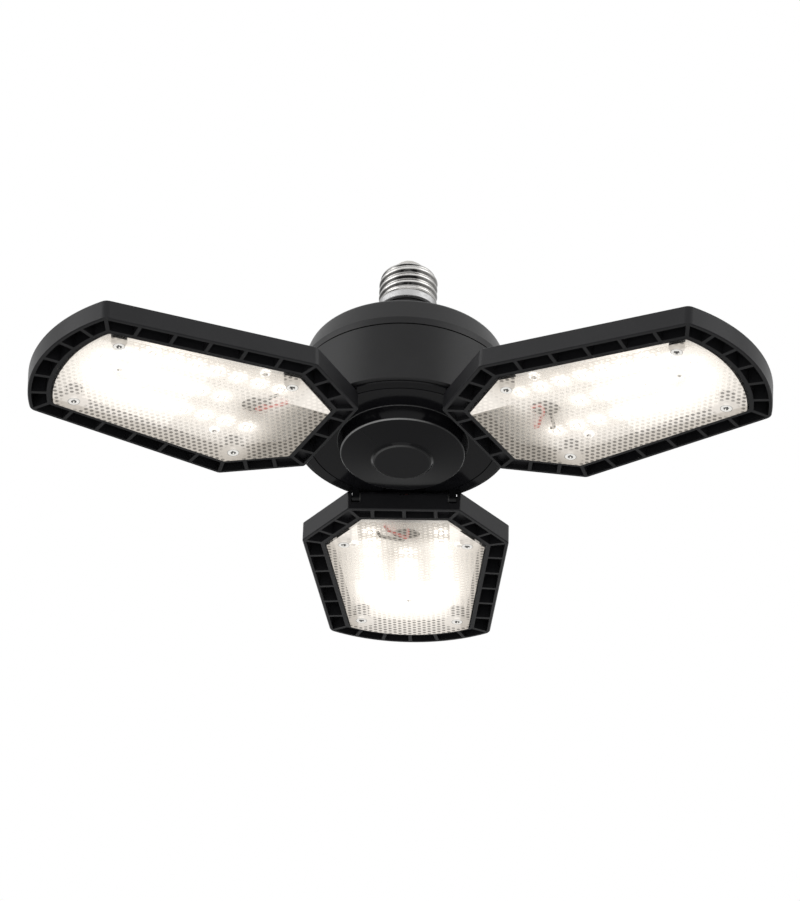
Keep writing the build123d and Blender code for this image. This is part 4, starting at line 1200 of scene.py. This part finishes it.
class CapSettings(bpy.types.PropertyGroup):
    """Sizes of the screw cap"""
    collar: length("Collar Radius", "Outer radius of the plain collar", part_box("cap_shell")[1].x)
    collar_height: length("Collar Height", "Height of the plain collar", 4.0 * MM)
    root: length("Root Radius", "Radius at the thread's root", 12.15 * MM)
    depth: length("Thread Depth", "Height of the thread's crest over its root", 0.9 * MM)
    pitch: length("Thread Pitch", "Rise of the thread in one turn", 3.63 * MM)
    thread_start: length("Thread Start", "Where the threaded wall begins", 5.0 * MM)
    thread_end: length("Thread End", "Where the threaded wall ends", 18.19 * MM)
    top: length("Shell Top", "Height of the turned-in mouth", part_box("cap_shell")[1].z)
    mouth: length("Mouth Radius", "Radius of the turned-in mouth", 9.0 * MM)
    bore: length("Bore Radius", "Inner radius of the shell", 11.6 * MM)


class LensSettings(bpy.types.PropertyGroup):
    """Dimples and light of the lenses"""
    pitch: length("Dimple Pitch", "From one dimple to the next in a row", 2.65 * MM)
    dimple_radius: length("Dimple Radius", "Radius of one dimple", 0.92 * MM)
    dimple_height: length("Dimple Height", "Height of one dimple", 0.3 * MM)
    alpha: number("Cover", "How much the lens hides between its dimples", 0.75)
    dimple_alpha: number("Dimple Cover", "How much the lens hides in its dimples", 0.27)
    strip_alpha: number("Strip Cover", "How much more the dimples hide beside the hub end", 0.6)
    pad_alpha: number("Pad Cover", "How much the dimples hide round the screws", 0.72)
    wall_alpha: number("Wall Cover", "How much the lens hides off its outer face", 0.06)
    hole_shade: number("Hole Shade", "What the lens loses over the wire hole", 0.2)
    veil: number("Veil", "Brightness of the lens away from the light sources", 0.5)
    veil_near: number("Near Veil", "What the lens gains over the light sources", 0.32)
    spread: length("Veil Spread", "How far the light reaches over the lens", 12.0 * MM)
    calm: number("Calm Level", "Brightness of the hub end", 0.29)
    strip: number("Strip Level", "Brightness beside the hub end", 0.88)
    outer_gain: number("Outer Gain", "What the outer part of the lens gains", 0.22)
    board_far: number("Board Level", "Brightness of the board away from the light sources", 0.25)
    board_glow: number("Board Glow", "What the board gains along the rows", 0.5)
    board_outer: number("Outer Board Glow", "What the board's rows gain in their outer part", 0.35)
    board_spread: length("Board Spread", "How far the rows light the board", 11.0 * MM)
    spot_glow: number("Spot Glow", "What the board gains beside one light source", 3.0)
    spot_spread: length("Spot Spread", "How far one light source lights the board", 3.0 * MM)
    glow_colour: colour("Glow Colour", "Colour of the light", (1.0, 0.93, 0.85))
    calm_colour: colour("Calm Colour", "Colour of the light where it is weak", (1.0, 0.87, 0.72))


class ChipSettings(bpy.types.PropertyGroup):
    """Light sources"""
    length: length("Chip Length", "Length of one light source", 3.5 * MM)
    width: length("Chip Width", "Width of one light source", 2.8 * MM)
    height: length("Chip Height", "Height of one light source", 0.65 * MM)
    strength: number("Chip Strength", "Brightness of the glowing square", 6.0)


class ScrewSettings(bpy.types.PropertyGroup):
    """Cross recesses of the screws"""
    recess_width: length("Recess Width", "Width of one slot of the cross", 0.6 * MM)
    recess_depth: length("Recess Depth", "Depth of the cross", 0.8 * MM)
    lens_recess_half: length("Lens Recess", "Half of the cross in a lens screw", 1.5 * MM)
    board_recess_half: length("Board Recess", "Half of the cross in a board screw", 1.2 * MM)
    lens_glow: number("Lens Screw Glow", "Light on the face of a lens screw", 0.45)
    board_glow: number("Board Screw Glow", "Light on the face of a board screw", 1.5)


# Operators

def step_operator(name, label, tip, build, *groups):
    """Operator class that runs one step on the settings groups it reads."""
    def execute(self, context):
        build(*[getattr(context.scene, group) for group in groups])
        return {"FINISHED"}

    parts = {"__doc__": tip, "bl_idname": f"lamp.{name}", "bl_label": label, "execute": execute}
    return type(f"LAMP_OT_{name}", (bpy.types.Operator,), parts)


OPERATORS = (
    step_operator("stage", "Stage", "Lay the floor, hang the lights and set the camera",
                  build_stage, "lamp_stage"),
    step_operator("cap", "Screw Cap", "Roll the thread of the screw cap and finish its contact",
                  build_cap, "lamp_cap", "lamp_finishes"),
    step_operator("hub", "Hub Covers", "Finish the hub's covers", build_hub, "lamp_finishes"),
    step_operator("driver", "Driver", "Finish the driver inside the drum", build_driver),
    step_operator("frames", "Panel Frames", "Finish the panels' cast frames and washers",
                  build_frames, "lamp_finishes"),
    step_operator("lenses", "Lenses", "Make the dimpled lenses", build_lenses, "lamp_lens"),
    step_operator("light_boards", "Light Boards", "Light the boards and set their light sources",
                  build_light_boards, "lamp_lens", "lamp_chips"),
    step_operator("screws", "Screws", "Set the cross-recessed screws",
                  build_screws, "lamp_screws", "lamp_finishes"),
)


class LAMP_PT_sidebar(bpy.types.Panel):
    """The lamp's steps and their settings"""
    bl_idname = "LAMP_PT_sidebar"
    bl_label = "Ceiling Lamp"
    bl_space_type = "VIEW_3D"
    bl_region_type = "UI"
    bl_category = "Lamp"

    def draw(self, context):
        for operator in OPERATORS:
            self.layout.operator(operator.bl_idname)
        for label in SETTINGS:
            box = self.layout.box()
            group = getattr(context.scene, label)
            for name in group.__annotations__:
                box.prop(group, name)


SETTINGS = {"lamp_stage": StageSettings, "lamp_finishes": FinishSettings, "lamp_cap": CapSettings,
            "lamp_lens": LensSettings, "lamp_chips": ChipSettings, "lamp_screws": ScrewSettings}


def register():
    """Registers the settings, the operators and the panel."""
    for label, settings in SETTINGS.items():
        bpy.utils.register_class(settings)
        setattr(bpy.types.Scene, label, bpy.props.PointerProperty(type=settings))
    for operator in OPERATORS:
        bpy.utils.register_class(operator)
    bpy.utils.register_class(LAMP_PT_sidebar)


def unregister():
    """Takes back what register added."""
    bpy.utils.unregister_class(LAMP_PT_sidebar)
    for operator in reversed(OPERATORS):
        bpy.utils.unregister_class(operator)
    for label, settings in reversed(SETTINGS.items()):
        delattr(bpy.types.Scene, label)
        bpy.utils.unregister_class(settings)


def main():
    """Runs every step and notes the sizes."""
    register()
    for operator in OPERATORS:
        group, step = operator.bl_idname.split(".")
        getattr(getattr(bpy.ops, group), step)()


if __name__ == "__main__":
    main()
